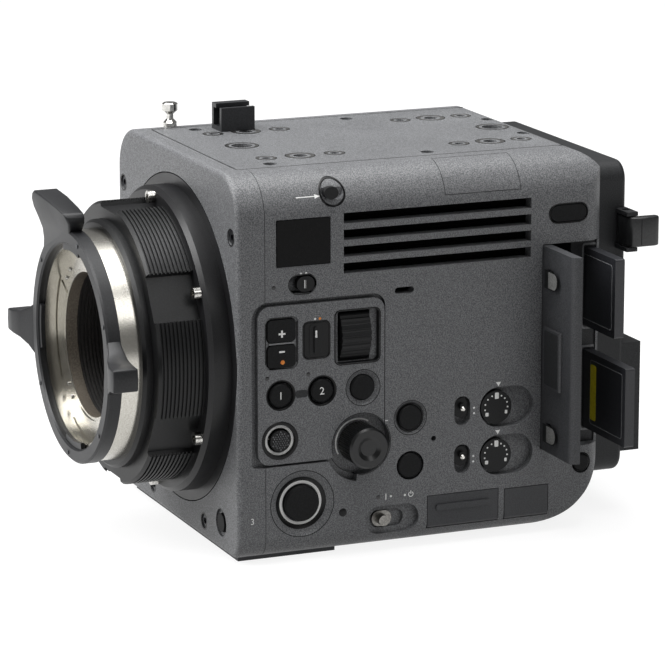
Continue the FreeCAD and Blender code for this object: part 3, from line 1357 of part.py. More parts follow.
def build_top_fittings():
    """The tape hook, turned with a waist, and the small clamp for a viewfinder cable."""
    foot = "body_top - hook_seat"
    low = rod("hook_foot", "up", "hook_x", "hook_at", foot, "hook_foot_r", "2.4")
    waist = cone("hook_taper_a", "up", "hook_x", "hook_at", foot + " + 2.4", "hook_foot_r", "hook_neck",
                 "1.4")
    neck = rod("hook_waist", "up", "hook_x", "hook_at", foot + " + 3.8", "hook_neck", "1.8")
    flare = cone("hook_taper_b", "up", "hook_x", "hook_at", foot + " + 5.6", "hook_neck", "hook_r", "1.4")
    head = rod("hook_head", "up", "hook_x", "hook_at", foot + " + 7", "hook_r", "hook_high - 7.4")
    crown = cone("hook_crown", "up", "hook_x", "hook_at", foot + " + hook_high - 0.4", "hook_r",
                 "hook_r - 0.6", "0.4")
    node(join("hook_join", [low, waist, neck, flare, head, crown]), "tape_hook")

    x0, x1 = "clamp_x", "clamp_x + clamp_wide"
    back = ("clamp_at", "clamp_at + clamp_long")
    base = block("clamp_base", (x0, x1), back, ("body_top", "body_top + 1.6"))
    near = block("clamp_near", (x1 + " - clamp_wall", x1), back, ("body_top", "body_top + clamp_high - 1"))
    far = block("clamp_far", (x0, x0 + " + clamp_wall"), back, ("body_top", "body_top + clamp_high"))
    lip = block("clamp_lip", (x0, x0 + " + 4.4"), back, ("body_top + clamp_high - 1.6",
                                                         "body_top + clamp_high"))
    shelf = block("clamp_shelf", (x0, x1), ("clamp_at + 2", "clamp_at + clamp_long - 4"),
                  ("body_top", "body_top + 4"))
    node(join("clamp_join", [base, near, far, lip, shelf]), "cable_clamp")


def build_badge():
    x = (HALF + " - badge_sink", HALF + " - badge_sink + badge_thick")
    body = new_body("badge_body")
    padded_box(body, "badge_slab", x, ("badge_at + cover_gap", "badge_at + badge_long - cover_gap"),
               ("badge_low + cover_gap", "badge_low + badge_high - cover_gap"))
    rounded(body, "badge_corners", "0.6", lambda e: straight_along(e, "x"))
    node(body, "badge_plate")


def build_covers():
    """The contact flap over the shoulder, the card cover and the rubber jack cover."""
    zone = block("flap_zone", ("top_half + 5 + cover_gap", HALF + " + 1"),
                 ("flap_front + cover_gap", "flap_back - cover_gap"), ("flap_low + cover_gap",
                                                                       "body_top + 1"))
    node(cut("flap_cut", overlap("flap_form", OUTER, zone), [envelope("flap_core", "flap_sink")]),
         "contact_cover")

    for key, label in (("sd", "card_cover"), ("jack", "jack_cover")):
        front, back = key + "_front", key + "_back"
        slab = rounded_block(key + "_slab", (HALF + " - cover_thick", HALF),
                             (front + " + cover_gap", back + " - cover_gap"),
                             ("sd_low + cover_gap", key + "_top - cover_gap"),
                             [("y", {"x": "low", "z": "low"}, "cover_thick / 2 - 0.05"),
                              ("y", {"x": "high", "z": "low"}, "cover_thick / 2 - 0.05")])
        pin = rod(key + "_pin", "back", COVER_X, front + " - cover_pin_seat", COVER_UP, "cover_pin_r",
                  "%s - %s + 2 * cover_pin_seat" % (back, front))
        pieces = [slab, pin]
        if key == "sd":
            pieces.append(pill("sd_ridge", (HALF + " - 0.2", HALF + " + 0.7"), "(sd_front + sd_back) / 2",
                               "(sd_low + sd_top) / 2 + 1.5", "sd_back - sd_front - 7", "2.2"))
        node(join(key + "_join", pieces), label)


# Media bay: reader, cards and door

def card_lows():
    return [("a", "card_a_low", "card_a_out"), ("b", "card_b_low", "card_b_out")]


MOUTH_X = HALF + " - bay_floor"


def build_card_reader():
    block_x = (MOUTH_X + " - card_rest_deep - card_long - 2", MOUTH_X)
    body = block("reader_block", block_x, ("reader_front", "side_back - rear_wall"), ("bay_low", "bay_top"))
    tools = []
    for key, low, _ in card_lows():
        tools.append(block("reader_slot_" + key, (MOUTH_X + " - card_rest_deep - card_long - 0.3",
                                                  MOUTH_X + " + 1"),
                           ("card_face - card_fit", "card_face + card_thick + card_fit"),
                           (low + " - card_fit", low + " + card_high + card_fit")))
    tools.append(block("reader_notch", (MOUTH_X + " - 4", MOUTH_X + " + 1"),
                       ("reader_front - 1", "card_face - 1.4"),
                       ("(bay_low + bay_top) / 2 - 2", "(bay_low + bay_top) / 2 + 4")))
    node(cut("reader_cut", body, tools), "card_reader")


def build_cards():
    for key, low, out in card_lows():
        x1 = "%s - card_rest_deep + %s" % (MOUTH_X, out)
        body = new_body("card_body_" + key)
        padded_box(body, "card_slab_" + key, (x1 + " - card_long", x1),
                   ("card_face", "card_face + card_thick"),
                   (low, low + " + card_high"))
        rounded(body, "card_round_" + key, "0.8", lambda e: straight_along(e, "y"))
        node(body, "memory_card_" + key)


def build_media_door():
    """The media door, shown open: a barrel on an upright pin and a plate out from it."""
    low, high = "bay_low + door_gap", "bay_top - door_gap"
    face = DOOR_BACK + " - barrel_r"
    barrel = rod("door_barrel", "up", DOOR_X, DOOR_BACK, low, "barrel_r", "(%s) - (%s)" % (high, low))
    plate = rounded_block("door_plate", (DOOR_X, DOOR_X + " + door_reach"), (face, face + " + door_thick"),
                          (low, high), [("z", {"x": "high", "y": "low"}, "door_round")])
    tab = rounded_block("door_tab", (DOOR_X + " + tab_from", DOOR_X + " + tab_from + tab_long"),
                        (face + " - tab_proud", face + " + 0.5"), ("tab_low", "tab_top"),
                        [("z", {"y": "low"}, "tab_proud - 0.2")])
    tools = [rod("door_bore", "up", DOOR_X, DOOR_BACK, low + " - 1", "pin_r + pin_clear",
                 "bay_top - bay_low + 2")]
    for key in ("notch_top", "notch_low"):
        start = DOOR_X + " + notch_in"
        turn = start + " + notch_run"
        height = (key + " - notch_r", key + " + notch_r")
        end = rod(key + "_round", "back", turn, face + " - 1", key, "notch_r", "notch_deep + 1")
        half = block(key + "_half", (turn, turn + " + notch_r + 1"),
                     (face + " - 2", face + " + notch_deep + 1"), height)
        tools.append(overlap(key + "_cut", end, half))
        tools.append(block(key + "_run", (start, turn + " + 0.1"),
                           (face + " - 1", face + " + notch_deep"), height))
    node(cut("door_cut", join("door_join", [barrel, plate, tab]), tools), "media_door")
    node(rod("door_pin_rod", "up", DOOR_X, DOOR_BACK, "bay_low - pin_seat", "pin_r",
             "bay_top - bay_low + 2 * pin_seat"), "door_pin")


# Inside

def build_filter():
    up0, up1 = "mount_up - filter_half", "mount_up + filter_half"
    frame = block("filter_frame", ("-filter_wide", "filter_wide"),
                  ("filter_front", "filter_front + filter_thick"), (up0, up1))
    window = block("filter_window", ("-window_half", "window_half"), ("filter_front - 1", "filter_front + 2"),
                   ("mount_up - window_up_half", "mount_up + window_up_half"))
    through = block("filter_through", ("-window_half + 2", "window_half - 2"),
                    ("filter_front", "filter_front + 8"),
                    ("mount_up - window_up_half + 2", "mount_up + window_up_half - 2"))
    node(cut("filter_cut", frame, [window, through]), "nd_filter")


def build_sensor():
    """The image sensor on its carrier, set on four posts of the chassis."""
    die = block("sensor_die", ("-sensor_half", "sensor_half"), ("sensor_back", "sensor_back + 1.2"),
                ("mount_up - sensor_up_half", "mount_up + sensor_up_half"))
    carrier = block("sensor_carrier", ("-sensor_half - 8", "sensor_half + 8"),
                    ("sensor_back + 1.2", "chassis_back"),
                    ("mount_up - sensor_up_half - 8", "mount_up + sensor_up_half + 8"))
    node(join("sensor_join", [die, carrier]), "image_sensor")


def build_chassis():
    """The inner frame: a plate behind the sensor and two rails back to the rear panel."""
    plate = block("chassis_plate", ("-chassis_half", "chassis_half"),
                  ("chassis_back", "chassis_back + chassis_thick"),
                  ("body_low + wall", "chassis_top"))
    left, right = "-chassis_half + arm_inset - arm_wide", "chassis_half - arm_inset"
    low, high = "mount_up - filter_half + 2", "mount_up + filter_half - 2 - arm_high"
    arms = [block("chassis_arm_%d" % i, (x, x + " + arm_wide"),
                  ("filter_front + filter_thick", "chassis_back + 1"),
                  (z, z + " + arm_high"))
            for i, (x, z) in enumerate([(left, low), (right, low), (left, high), (right, high)])]
    rail = block("chassis_rail", ("-chassis_half", "-chassis_half + rail_wide"),
                 ("chassis_back + 1", "side_back - rear_wall"), ("rail_low", "rail_top"))
    deck = block("chassis_deck", ("-chassis_half", "6"), ("chassis_back + 1", "side_back - rear_wall"),
                 ("rail_top", "rail_top + 3"))
    node(join("chassis_join", [plate, rail, deck] + arms), "chassis_frame")
    board = block("main_board_slab", ("board_x", "4"), ("chassis_back + 12", "side_back - 18.5"),
                  ("rail_top + 3", "rail_top + 3 + board_thick"))
    chips = [block("chip_%d" % i, (x, x + " + 12"), (at, at + " + 14"),
                   ("rail_top + 3 + board_thick - 0.2", "rail_top + 3 + board_thick + 2"))
             for i, (x, at) in enumerate([("board_x + 6", "44"), ("board_x + 6", "70"), ("-10", "56"),
                                          ("-10", "96")])]
    node(join("main_board_join", [board] + chips), "main_board")


def build_fan():
    """The cooling fan behind the vents, and the finned heat sink beside it."""
    hub = rod("fan_hub", "x", "fan_x", "fan_at", "fan_up", "fan_hub_r", "fan_wide")
    shaft = rod("fan_shaft", "x", "fan_x - 3", "fan_at", "fan_up", "fan_shaft_r", "4")
    blades = []
    count = int(size_of("fan_blades"))
    for i in range(count):
        turn = 360.0 * i / count
        blade = doc.addObject("Part::Box", "fan_blade_%d" % i)
        bind(blade, "Length", "fan_wide - 1")
        bind(blade, "Width", "fan_r - fan_hub_r + 1")
        blade.Height = 1.4
        place(blade, "fan_x + 0.5", "fan_at + (fan_hub_r - 1) * cos(%.3f)" % turn,
              "fan_up + (fan_hub_r - 1) * sin(%.3f)" % turn, FreeCAD.Rotation(FreeCAD.Vector(1, 0, 0), turn))
        blades.append(blade)
    node(join("fan_join", [hub, shaft] + blades), "cooling_fan")
    base = block("sink_base", ("fan_x - 9", "fan_x - 6"), ("fan_at - fan_r - 2", "sink_back"),
                 ("sink_low - 4", "sink_top"))
    socket = rod("sink_socket", "x", "fan_x - 12", "fan_at", "fan_up", "fan_shaft_r + axle_clear", "20")
    boss = rod("sink_boss", "x", "fan_x - 7", "fan_at", "fan_up", "fan_shaft_r + 1.6", "6.4")
    fins = []
    for i in range(int(size_of("sink_fins"))):
        start = "sink_front + %d * sink_pitch" % i
        fins.append(block("sink_fin_%d" % i, ("fan_x - 7", "fan_x + fan_wide"),
                          (start, start + " + sink_fin"),
                          ("sink_low", "sink_top - 2")))
    foot = block("sink_foot", ("-9", "fan_x - 6"), ("sink_front", "sink_back"),
                 ("sink_low - 4", "sink_low - 1"))
    post = block("sink_post", ("-9", "1"), ("97", "109"), ("rail_top + 3 + board_thick + 2", "sink_low - 1"))
    node(cut("sink_cut", join("sink_join", [base, boss, foot, post] + fins), [socket]), "heat_sink")


OUTER = envelope("outer_form")
INNER = envelope("inner_form", "wall")
build_front_panel()
build_control_side()
build_control_plate()
build_assistant_side()
build_top_plate()
build_base_plate()
build_rear()
build_battery_plate()
build_battery_lever()
build_connectors()
build_mount_rings()
build_adaptor()
build_adaptor_screws()
build_lens_seat()
build_lock_ring()
build_baffle()
build_body_screws()
build_top_fittings()
build_badge()
build_covers()
build_round_buttons()
build_shaped_buttons()
build_selector()
build_switches()
build_wheel()
build_control_board()
build_dials()
build_card_reader()
build_cards()
build_media_door()
build_filter()
build_sensor()
build_chassis()
build_fan()

doc.recompute()
for obj in doc.Objects:
    if any(word in obj.State for word in ("Invalid", "Error")):
        raise RuntimeError("failed: %s %s" % (obj.Name, obj.State))
for piece in NODES:
    if piece.Shape.isNull() or not piece.Shape.isValid():
        raise RuntimeError("bad shape: %s" % piece.Label)
if len(NODES) > 60:
    raise RuntimeError("too many nodes: %d" % len(NODES))

os.makedirs("parts", exist_ok=True)
for piece in NODES:
    piece.Shape.exportStep("parts/%s.step" % piece.Label)
print("%d pieces written" % len(NODES))
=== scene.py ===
import math

import bmesh
import bpy
from mathutils import Matrix, Vector
from mathutils.bvhtree import BVHTree


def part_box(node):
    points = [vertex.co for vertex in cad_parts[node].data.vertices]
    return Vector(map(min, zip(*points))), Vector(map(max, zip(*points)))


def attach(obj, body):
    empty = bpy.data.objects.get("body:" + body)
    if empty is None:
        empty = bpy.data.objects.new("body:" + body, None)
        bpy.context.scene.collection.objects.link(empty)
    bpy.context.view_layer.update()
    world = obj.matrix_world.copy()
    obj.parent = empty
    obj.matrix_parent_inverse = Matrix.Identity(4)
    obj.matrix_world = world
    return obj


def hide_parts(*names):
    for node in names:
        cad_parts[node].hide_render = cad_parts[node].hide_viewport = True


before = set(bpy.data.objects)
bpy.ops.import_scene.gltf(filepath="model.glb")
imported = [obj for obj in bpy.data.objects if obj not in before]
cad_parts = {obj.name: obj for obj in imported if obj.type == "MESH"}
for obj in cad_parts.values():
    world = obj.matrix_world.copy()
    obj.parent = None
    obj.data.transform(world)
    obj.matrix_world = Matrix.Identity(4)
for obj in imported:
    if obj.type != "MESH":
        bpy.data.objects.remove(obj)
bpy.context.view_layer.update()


# The camera. A long lens from the front on the operator's side, a little above
# the body, as the photograph was taken.

def aimed(place, sight):
    """A matrix that stands at a place and looks along a direction."""
    return Matrix.Translation(place) @ sight.to_track_quat("-Z", "Y").to_matrix().to_4x4()


turn = math.radians(22.72)
dip = math.radians(13.2)
sight = Vector((-math.cos(dip) * math.cos(turn), math.cos(dip) * math.sin(turn), -math.sin(dip)))
camera_data = bpy.data.cameras.new("studio_camera")
camera_data.lens = 204.2
camera_data.sensor_width = 36
camera_data.sensor_fit = "HORIZONTAL"
camera_data.clip_end = 20
camera = bpy.data.objects.new("studio_camera", camera_data)
camera.matrix_world = aimed((1.27913, -0.5508, 0.3935), sight)
bpy.context.scene.collection.objects.link(camera)
bpy.context.scene.camera = camera
bpy.context.scene.view_settings.view_transform = "Standard"


# The studio. A pale seamless floor, one wide softbox overhead, a key light on
# the lens side and a weak fill on the control side.

def linear(code):
    """A colour written as sRGB hex, as the linear values that Blender takes."""
    parts = [int(code[i:i + 2], 16) / 255 for i in (1, 3, 5)]
    return [c / 12.92 if c <= 0.04045 else ((c + 0.055) / 1.055) ** 2.4 for c in parts] + [1.0]


def add_node(tree, kind, inputs=(), **settings):
    """Adds a shader or geometry node with its settings, values and links."""
    new = tree.nodes.new(kind)
    for name, value in settings.items():
        setattr(new, name, value)
    for name, value in dict(inputs).items():
        if isinstance(value, bpy.types.NodeSocket):
            tree.links.new(value, new.inputs[name])
        else:
            new.inputs[name].default_value = value
    return new


def new_finish(name):
    """A new material, with its node tree and its Principled shader."""
    material = bpy.data.materials.new(name)
    material.use_nodes = True
    return material, material.node_tree, material.node_tree.nodes["Principled BSDF"]


# Matt paper. Only the camera, reflections and glass see it near white; what it lights, it lights as grey.
floor_paper, tree, shader = new_finish("paper_sweep")
shader.inputs["Base Color"].default_value = linear("#7c7c7c")
shader.inputs["Roughness"].default_value = 0.9
shader.inputs["Specular IOR Level"].default_value = 0.0
rays = add_node(tree, "ShaderNodeLightPath").outputs
seen = add_node(tree, "ShaderNodeMath", {0: rays["Is Camera Ray"], 1: rays["Is Glossy Ray"]},
                operation="ADD")
seen = add_node(tree, "ShaderNodeMath", {0: seen.outputs[0], 1: rays["Is Transmission Ray"]},
                operation="ADD", use_clamp=True)
lift = add_node(tree, "ShaderNodeMath", {0: seen.outputs[0], 1: 0.86}, operation="MULTIPLY")
shader.inputs["Emission Color"].default_value = (1, 1, 1, 1)
tree.links.new(lift.outputs[0], shader.inputs["Emission Strength"])

bpy.ops.mesh.primitive_plane_add(size=12)
floor = bpy.context.object
floor.name = "floor"
floor.data.materials.append(floor_paper)

world = bpy.data.worlds.new("studio")
world.use_nodes = True
world.node_tree.nodes["Background"].inputs["Color"].default_value = (1, 1, 1, 1)
world.node_tree.nodes["Background"].inputs["Strength"].default_value = 0.19
bpy.context.scene.world = world

for name, place, aim, width, height, power in (
        ("softbox_top", (-0.12, -0.15, 1.3), (0, 0, 0.1), 1.2, 1.4, 30.0),
        ("softbox_lens", (-0.4, -1.5, 1.1), (0, 0, 0.08), 0.9, 1.0, 28.0),
        ("softbox_side", (1.3, 0.4, 1.4), (0, 0, 0.12), 0.9, 0.8, 5.6)):
    lamp = bpy.data.lights.new(name, "AREA")
    lamp.shape = "RECTANGLE"
    lamp.size = width
    lamp.size_y = height
    lamp.energy = power
    holder = bpy.data.objects.new(name, lamp)
    holder.matrix_world = aimed(place, Vector(aim) - Vector(place))
    bpy.context.scene.collection.objects.link(holder)


# Front cap, side covers, top plate, control plate and shoulder flap. Magnesium
# castings under a speckled powder coat: a fine raised grain with pale flecks,
# a little duller where hands hold the body.

half_width = 0.0625
front_face = -0.078
roof = 0.1425

# Planes in mm on the outer faces: x and y run along the face, and z stands out of it.
side_plane = Matrix(((0, 0, 0.001, half_width), (0.001, 0, 0, front_face), (0, 0.001, 0, 0), (0, 0, 0, 1)))
top_plane = Matrix(((0.001, 0, 0, 0), (0, 0.001, 0, front_face), (0, 0, 0.001, roof), (0, 0, 0, 1)))
covers = ("front_panel", "control_side_panel", "control_plate", "top_plate")


def grained(name, dark, pale, rough, grit, depth, metal=0.0, specular=0.5):
    """A surface of fine grains: grit is the grain in mm, depth its height in mm.

    Grains take the paler colour. Soft patches about 36 mm wide shift tone and gloss a little, as
    handling does. The IOR of 1.5 is that of resins and plastics, and specular below 0.5 takes gloss
    from blacks whose pits swallow light.
    """
    material, tree, shader = new_finish(name)
    place = add_node(tree, "ShaderNodeTexCoord").outputs["Object"]
    grain = add_node(tree, "ShaderNodeTexNoise", {
        "Vector": place, "Scale": 1000 / grit, "Detail": 2.0, "Roughness": 0.6}).outputs["Fac"]
    patch = add_node(tree, "ShaderNodeTexNoise", {
        "Vector": place, "Scale": 28.0, "Detail": 4.0}).outputs["Fac"]
    fleck = add_node(tree, "ShaderNodeMapRange", {"Value": grain, "From Min": 0.38, "From Max": 0.66})
    tone = add_node(tree, "ShaderNodeMix", {0: fleck.outputs[0], 6: linear(dark), 7: linear(pale)},
                    data_type="RGBA")
    shade = add_node(tree, "ShaderNodeMapRange", {
        "Value": patch, "From Min": 0.3, "From Max": 0.7, "To Min": 0.93, "To Max": 1.07})
    colour = add_node(tree, "ShaderNodeVectorMath", {0: tone.outputs[2], 1: shade.outputs[0]},
                      operation="MULTIPLY")
    gloss = add_node(tree, "ShaderNodeMapRange", {
        "Value": patch, "From Min": 0.3, "From Max": 0.7,
        "To Min": max(rough - 0.05, 0.02), "To Max": rough + 0.06})
    bump = add_node(tree, "ShaderNodeBump", {
        "Height": grain, "Distance": depth / 1000, "Strength": 0.6})
    tree.links.new(colour.outputs[0], shader.inputs["Base Color"])
    tree.links.new(gloss.outputs[0], shader.inputs["Roughness"])
    tree.links.new(bump.outputs[0], shader.inputs["Normal"])
    shader.inputs["Metallic"].default_value = metal
    shader.inputs["Specular IOR Level"].default_value = specular
    if not metal:
        shader.inputs["IOR"].default_value = 1.5
    return material


def dress(finish, *names):
    """Gives CAD nodes their finish."""
    for name in names:
        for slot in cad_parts[name].material_slots:
            slot.material = finish


# The real grains are about 0.25 mm; they are drawn at 0.42 mm so that the render's pixels show them.
powder_coat = grained("speckled_powder_coat", "#47484a", "#808183", 0.46, 0.42, 0.06)
dress(powder_coat, "front_panel", "control_side_panel", "assistant_side_panel", "top_plate",
      "control_plate", "contact_cover")


# Top plate fittings. Threaded steel bushings are pressed into its holes, each with
# a turned countersink that shows as a bright rim in a thin shadow line. A dark
# seam runs along the plate's sides and front edge.

def around(x, y, radius, degrees):
    """Points on a circle at these angles."""
    angles = [math.radians(angle) for angle in degrees]
    return [(x + radius * math.cos(angle), y + radius * math.sin(angle)) for angle in angles]


def circle(x, y, radius, count=48):
    """A circle as a loop of points."""
    return around(x, y, radius, [360 * i / count for i in range(count)])


def rounded(x, y, long, high, corner):
    """A rectangle with round corners as a loop, with as many points whatever its size."""
    points = []
    for k, (sx, sy) in enumerate(((1, 1), (-1, 1), (-1, -1), (1, -1))):
        middle = (x + sx * (long / 2 - corner), y + sy * (high / 2 - corner))
        points += around(*middle, corner, [90 * k + 15 * i for i in range(7)])
    return points


ray_trees = {}


def surface(plane, nodes):
    """How high the nodes stand over a plane at any point of it, in mm, by a ray from 40 mm outside."""
    back = plane.inverted()
    inwards = (plane.to_3x3() @ Vector((0, 0, -1))).normalized()
    for name in nodes:
        if name not in ray_trees:
            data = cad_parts[name].data
            ray_trees[name] = BVHTree.FromPolygons([vert.co for vert in data.vertices],
                                                   [face.vertices for face in data.polygons])

    def height(x, y):
        hits = [ray_trees[name].ray_cast(plane @ Vector((x, y, 40)), inwards)[0] for name in nodes]
        return max([(back @ hit).z for hit in hits if hit is not None], default=0.0)
    return height


def bridge(mesh, one, two):
    """A band of faces between two loops that have as many points."""
    for i in range(len(one)):
        j = (i + 1) % len(one)
        mesh.faces.new((one[i], one[j], two[j], two[i]))


def settled(name, mesh, plane, finish, body="camera_body"):
    """Turns a bmesh in mm into a piece at its place, with its finish and its body."""
    bmesh.ops.recalc_face_normals(mesh, faces=mesh.faces[:])
    data = bpy.data.meshes.new(name)
    mesh.to_mesh(data)
    mesh.free()
    data.transform(plane)
    data.materials.append(finish)
    data.shade_smooth()
    data.set_sharp_from_angle(angle=math.radians(32))
    piece = bpy.data.objects.new(name, data)
    bpy.context.scene.collection.objects.link(piece)
    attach(piece, body)
    return piece


def layer(name, shapes, rises, finish, body="camera_body", nodes=covers, plane=side_plane,
          filled=True, sink=0.15):
    """Thin closed layers on a surface: a shape is a list of loops, and each loop has its rise in mm.

    The rises count from the nodes' surface; with no nodes they are heights over the plane itself. The
    first loop of a shape that isn't filled stays open, as the hole of a ring.
    """
    height = surface(plane, nodes) if nodes else lambda x, y: 0.0
    mesh = bmesh.new()
    for loops in shapes:
        tops = []
        lows = []
        for loop, rise in zip(loops, rises):
            depth = -sink if nodes else rise - sink
            grounds = [height(x, y) for x, y in loop]
            tops.append([mesh.verts.new((x, y, ground + rise)) for (x, y), ground in zip(loop, grounds)])
            lows.append([mesh.verts.new((x, y, ground + depth)) for (x, y), ground in zip(loop, grounds)])
        if filled:
            mesh.faces.new(tops[0])
            mesh.faces.new(lows[0])
        else:
            bridge(mesh, tops[0], lows[0])
        for loops_on_one_side in (tops, lows):
            for one, two in zip(loops_on_one_side, loops_on_one_side[1:]):
                bridge(mesh, one, two)
        bridge(mesh, tops[-1], lows[-1])
    settled(name, mesh, plane, finish, body)


# Black ABS, moulded smooth: a soft narrow sheen on a deep black. It also paints shade at rings, gaps and
# sockets.
black_abs_and_shade = grained("moulded_abs_and_painted_shade", "#050506", "#0b0b0c", 0.34, 0.5, 0.01, specular=0.22)

# Steel from the lathe: a bright grey that catches the softbox.
bushing_steel = grained("turned_bushing_steel", "#8a8987", "#aeadaa", 0.3, 0.7, 0.01, metal=1.0)

# Each hole's place, its bore and the radius of its countersink.
top_holes = [(x, y, 2.62, 5.6) for x in (-27, 27) for y in (38.7, 115.0)]
top_holes += [(0, y, 4.05, 6.3) for y in (26.5, 128.5)]
top_holes += [(x, y, 1.7, 3.9) for x in (-27, 27) for y in (25.4, 52.3, 102.3, 127.7)]
for k, (x, y, bore, sink_radius) in enumerate(top_holes):
    edge = sink_radius - 0.3
    rim = [circle(x, y, radius, 32) for radius in (bore, (bore + sink_radius) / 2, edge)]
    layer("top_bushing_%d" % k, [rim], (-0.1, 0.02, 0.05), bushing_steel, nodes=None, plane=top_plane,
          filled=False)
    layer("top_shadow_%d" % k, [[circle(x, y, edge, 32), circle(x, y, sink_radius + 0.1, 32)]],
          (0.03, 0.03), black_abs_and_shade, nodes=None, plane=top_plane, filled=False)
layer("top_plate_seam", [[rounded(44.35, 71.8, 0.5, 129.6, 0.2)], [rounded(-44.35, 71.8, 0.5, 129.6, 0.2)],
                         [rounded(0, 7.1, 88.2, 0.5, 0.2)]], (0.03,), black_abs_and_shade, nodes=None, plane=top_plane)


# Base plate. The underside casting in a darker satin coat, with foot pads
# left flat for a tripod plate.

base_coat = grained("satin_dark_coat", "#232427", "#313236", 0.55, 0.5, 0.03)
dress(base_coat, "base_plate")


# Rear housing, battery plate and card reader. Glass-filled nylon, moulded with a
# fine spark-eroded texture and black all through; gold plated battery contacts.

moulded_nylon = grained("moulded_nylon", "#1b1c1d", "#2c2d2f", 0.5, 0.4, 0.03, specular=0.3)
dress(moulded_nylon, "rear_housing", "battery_plate", "card_reader")

# Thin gold plate over nickel: a small warm glint.
contact_gold = grained("gold_plated_contacts", "#c99b3c", "#e2b95c", 0.25, 0.5, 0.004, metal=1.0)
dress(contact_gold, "battery_contacts")


# Video connectors. Brass shells plated with nickel, turned bright; each holds a
# white fluoropolymer bush and, in the bush, a gold plated pin.

small_heads = bpy.data.node_groups.new("small_heads", "GeometryNodeTree")
head_inputs = {}
for label, kind in (("Points", "Geometry"), ("Radius", "Float"), ("Tip", "Float"), ("Height", "Float"),
                    ("Sides", "Int"), ("Lean", "Vector"), ("Finish", "Material")):
    socket = small_heads.interface.new_socket(label, in_out="INPUT", socket_type="NodeSocket" + kind)
    head_inputs[label] = socket.identifier
small_heads.interface.new_socket("Heads", in_out="OUTPUT", socket_type="NodeSocketGeometry")
source = add_node(small_heads, "NodeGroupInput").outputs
head = add_node(small_heads, "GeometryNodeMeshCone", {
    "Vertices": source["Sides"], "Radius Top": source["Tip"], "Radius Bottom": source["Radius"],
    "Depth": source["Height"]})
placed = add_node(small_heads, "GeometryNodeInstanceOnPoints", {
    "Points": source["Points"], "Instance": head.outputs["Mesh"], "Rotation": source["Lean"]})
real = add_node(small_heads, "GeometryNodeRealizeInstances", {"Geometry": placed.outputs[0]})
coated = add_node(small_heads, "GeometryNodeSetMaterial", {
    "Geometry": real.outputs[0], "Material": source["Finish"]})
add_node(small_heads, "NodeGroupOutput", {"Heads": coated.outputs[0]})


def heads(name, places, sizes, sides, lean, finish, body="camera_body"):
    """Small turned heads at places in metres; sizes are radius, tip radius and height in mm."""
    points = bpy.data.meshes.new(name)
    points.from_pydata(places, [], [])
    piece = bpy.data.objects.new(name, points)
    bpy.context.scene.collection.objects.link(piece)
    spread = piece.modifiers.new("heads", "NODES")
    spread.node_group = small_heads
    values = dict(zip(("Radius", "Tip", "Height"), [size / 1000 for size in sizes]))
    values.update({"Sides": sides, "Lean": lean, "Finish": finish})
    for label, value in values.items():
        spread[head_inputs[label]] = value
    bpy.context.view_layer.update()
    solid = bpy.data.meshes.new_from_object(piece.evaluated_get(bpy.context.evaluated_depsgraph_get()))
    piece.modifiers.clear()
    piece.data = solid
    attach(piece, body)


out_of_front = (math.pi / 2, 0, 0)
out_of_rear = (-math.pi / 2, 0, 0)
out_of_side = (0, math.pi / 2, 0)

# Bright nickel plate over turned brass: a warm grey that mirrors the studio softly.
nickel_shell = grained("nickel_plated_shells", "#a9a69e", "#c4c1b9", 0.28, 0.5, 0.004, metal=1.0)
dress(nickel_shell, "video_connectors")

# Unfilled fluoropolymer: waxy, nearly white, with a soft sheen.
fluoropolymer = grained("white_fluoropolymer", "#cfcfca", "#dededa", 0.5, 0.8, 0.005)
shell_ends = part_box("video_connectors")[1][1]
shell_middles = [-0.030 + 0.018 * k for k in range(3)]
heads("connector_bushes", [(x, shell_ends - 0.0035, 0.045) for x in shell_middles], (3.0, 3.0, 5.0), 28,
      out_of_front, fluoropolymer)
heads("connector_pins", [(x, shell_ends - 0.0034, 0.045) for x in shell_middles], (0.7, 0.5, 3.2), 14,
      out_of_rear, contact_gold)


# Battery release lever. One glossy black moulding with rounded edges: an arm on an
# upright pin and a thumb pad that runs back past the housing, with a parting line.

body_plane = Matrix(((0.001, 0, 0, 0), (0, 0.001, 0, front_face), (0, 0, 0.001, 0), (0, 0, 0, 1)))


def slab(mesh, outline, low, front, reach=0.0):
    """A slab with rounded edges; from 44 mm off the centre, its front rises by reach over 9 mm."""
    block = bmesh.new()
    tops = []
    lows = []
    for x, y in outline:
        part = min(max((math.hypot(x, y) - 44) / 9, 0), 1)
        tops.append(block.verts.new((x, y, front + part * reach)))
        lows.append(block.verts.new((x, y, low)))
    block.faces.new(tops)
    block.faces.new(lows)
    bridge(block, tops, lows)
    bmesh.ops.triangulate(block, faces=[face for face in block.faces if len(face.verts) > 4])
    bmesh.ops.recalc_face_normals(block, faces=block.faces[:])
    bent = [edge for edge in block.edges if len(edge.link_faces) == 2 and edge.calc_face_angle(0) > 0.6]
    bmesh.ops.bevel(block, geom=bent, offset=0.7, offset_type="OFFSET", segments=3, profile=0.5,
                    affect="EDGES")
    loose = bpy.data.meshes.new("slab")
    block.to_mesh(loose)
    block.free()
    mesh.from_mesh(loose)
    bpy.data.meshes.remove(loose)


# Moulded in a polished tool: black, with a smooth bright streak along its edges.
lever_gloss = grained("glossy_lever_moulding", "#18191a", "#242526", 0.28, 0.8, 0.008)
dress(lever_gloss, "battery_lever")

lever_plan = [(50.7, 156.2), (58.0, 156.2), (60.4, 157.4), (61.5, 160.0), (61.5, 166.8), (60.9, 168.6),
              (59.4, 169.2), (57.6, 168.4), (57.4, 161.4), (50.7, 161.2)]
mesh = bmesh.new()
slab(mesh, lever_plan, 105.1, 116.3)
lever = settled("release_lever", mesh, body_plane, lever_gloss, "battery_lever")
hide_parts("battery_lever")
layer("lever_seam", [[rounded(161.2, 110.7, 0.35, 9.6, 0.15)]], (-0.97,), black_abs_and_shade, body="battery_lever",
      nodes=None, sink=0.2)


# Mount disc and base ring. Aluminium turned on a lathe and anodised black;
# the turning marks run round the optical axis and catch a soft sheen.

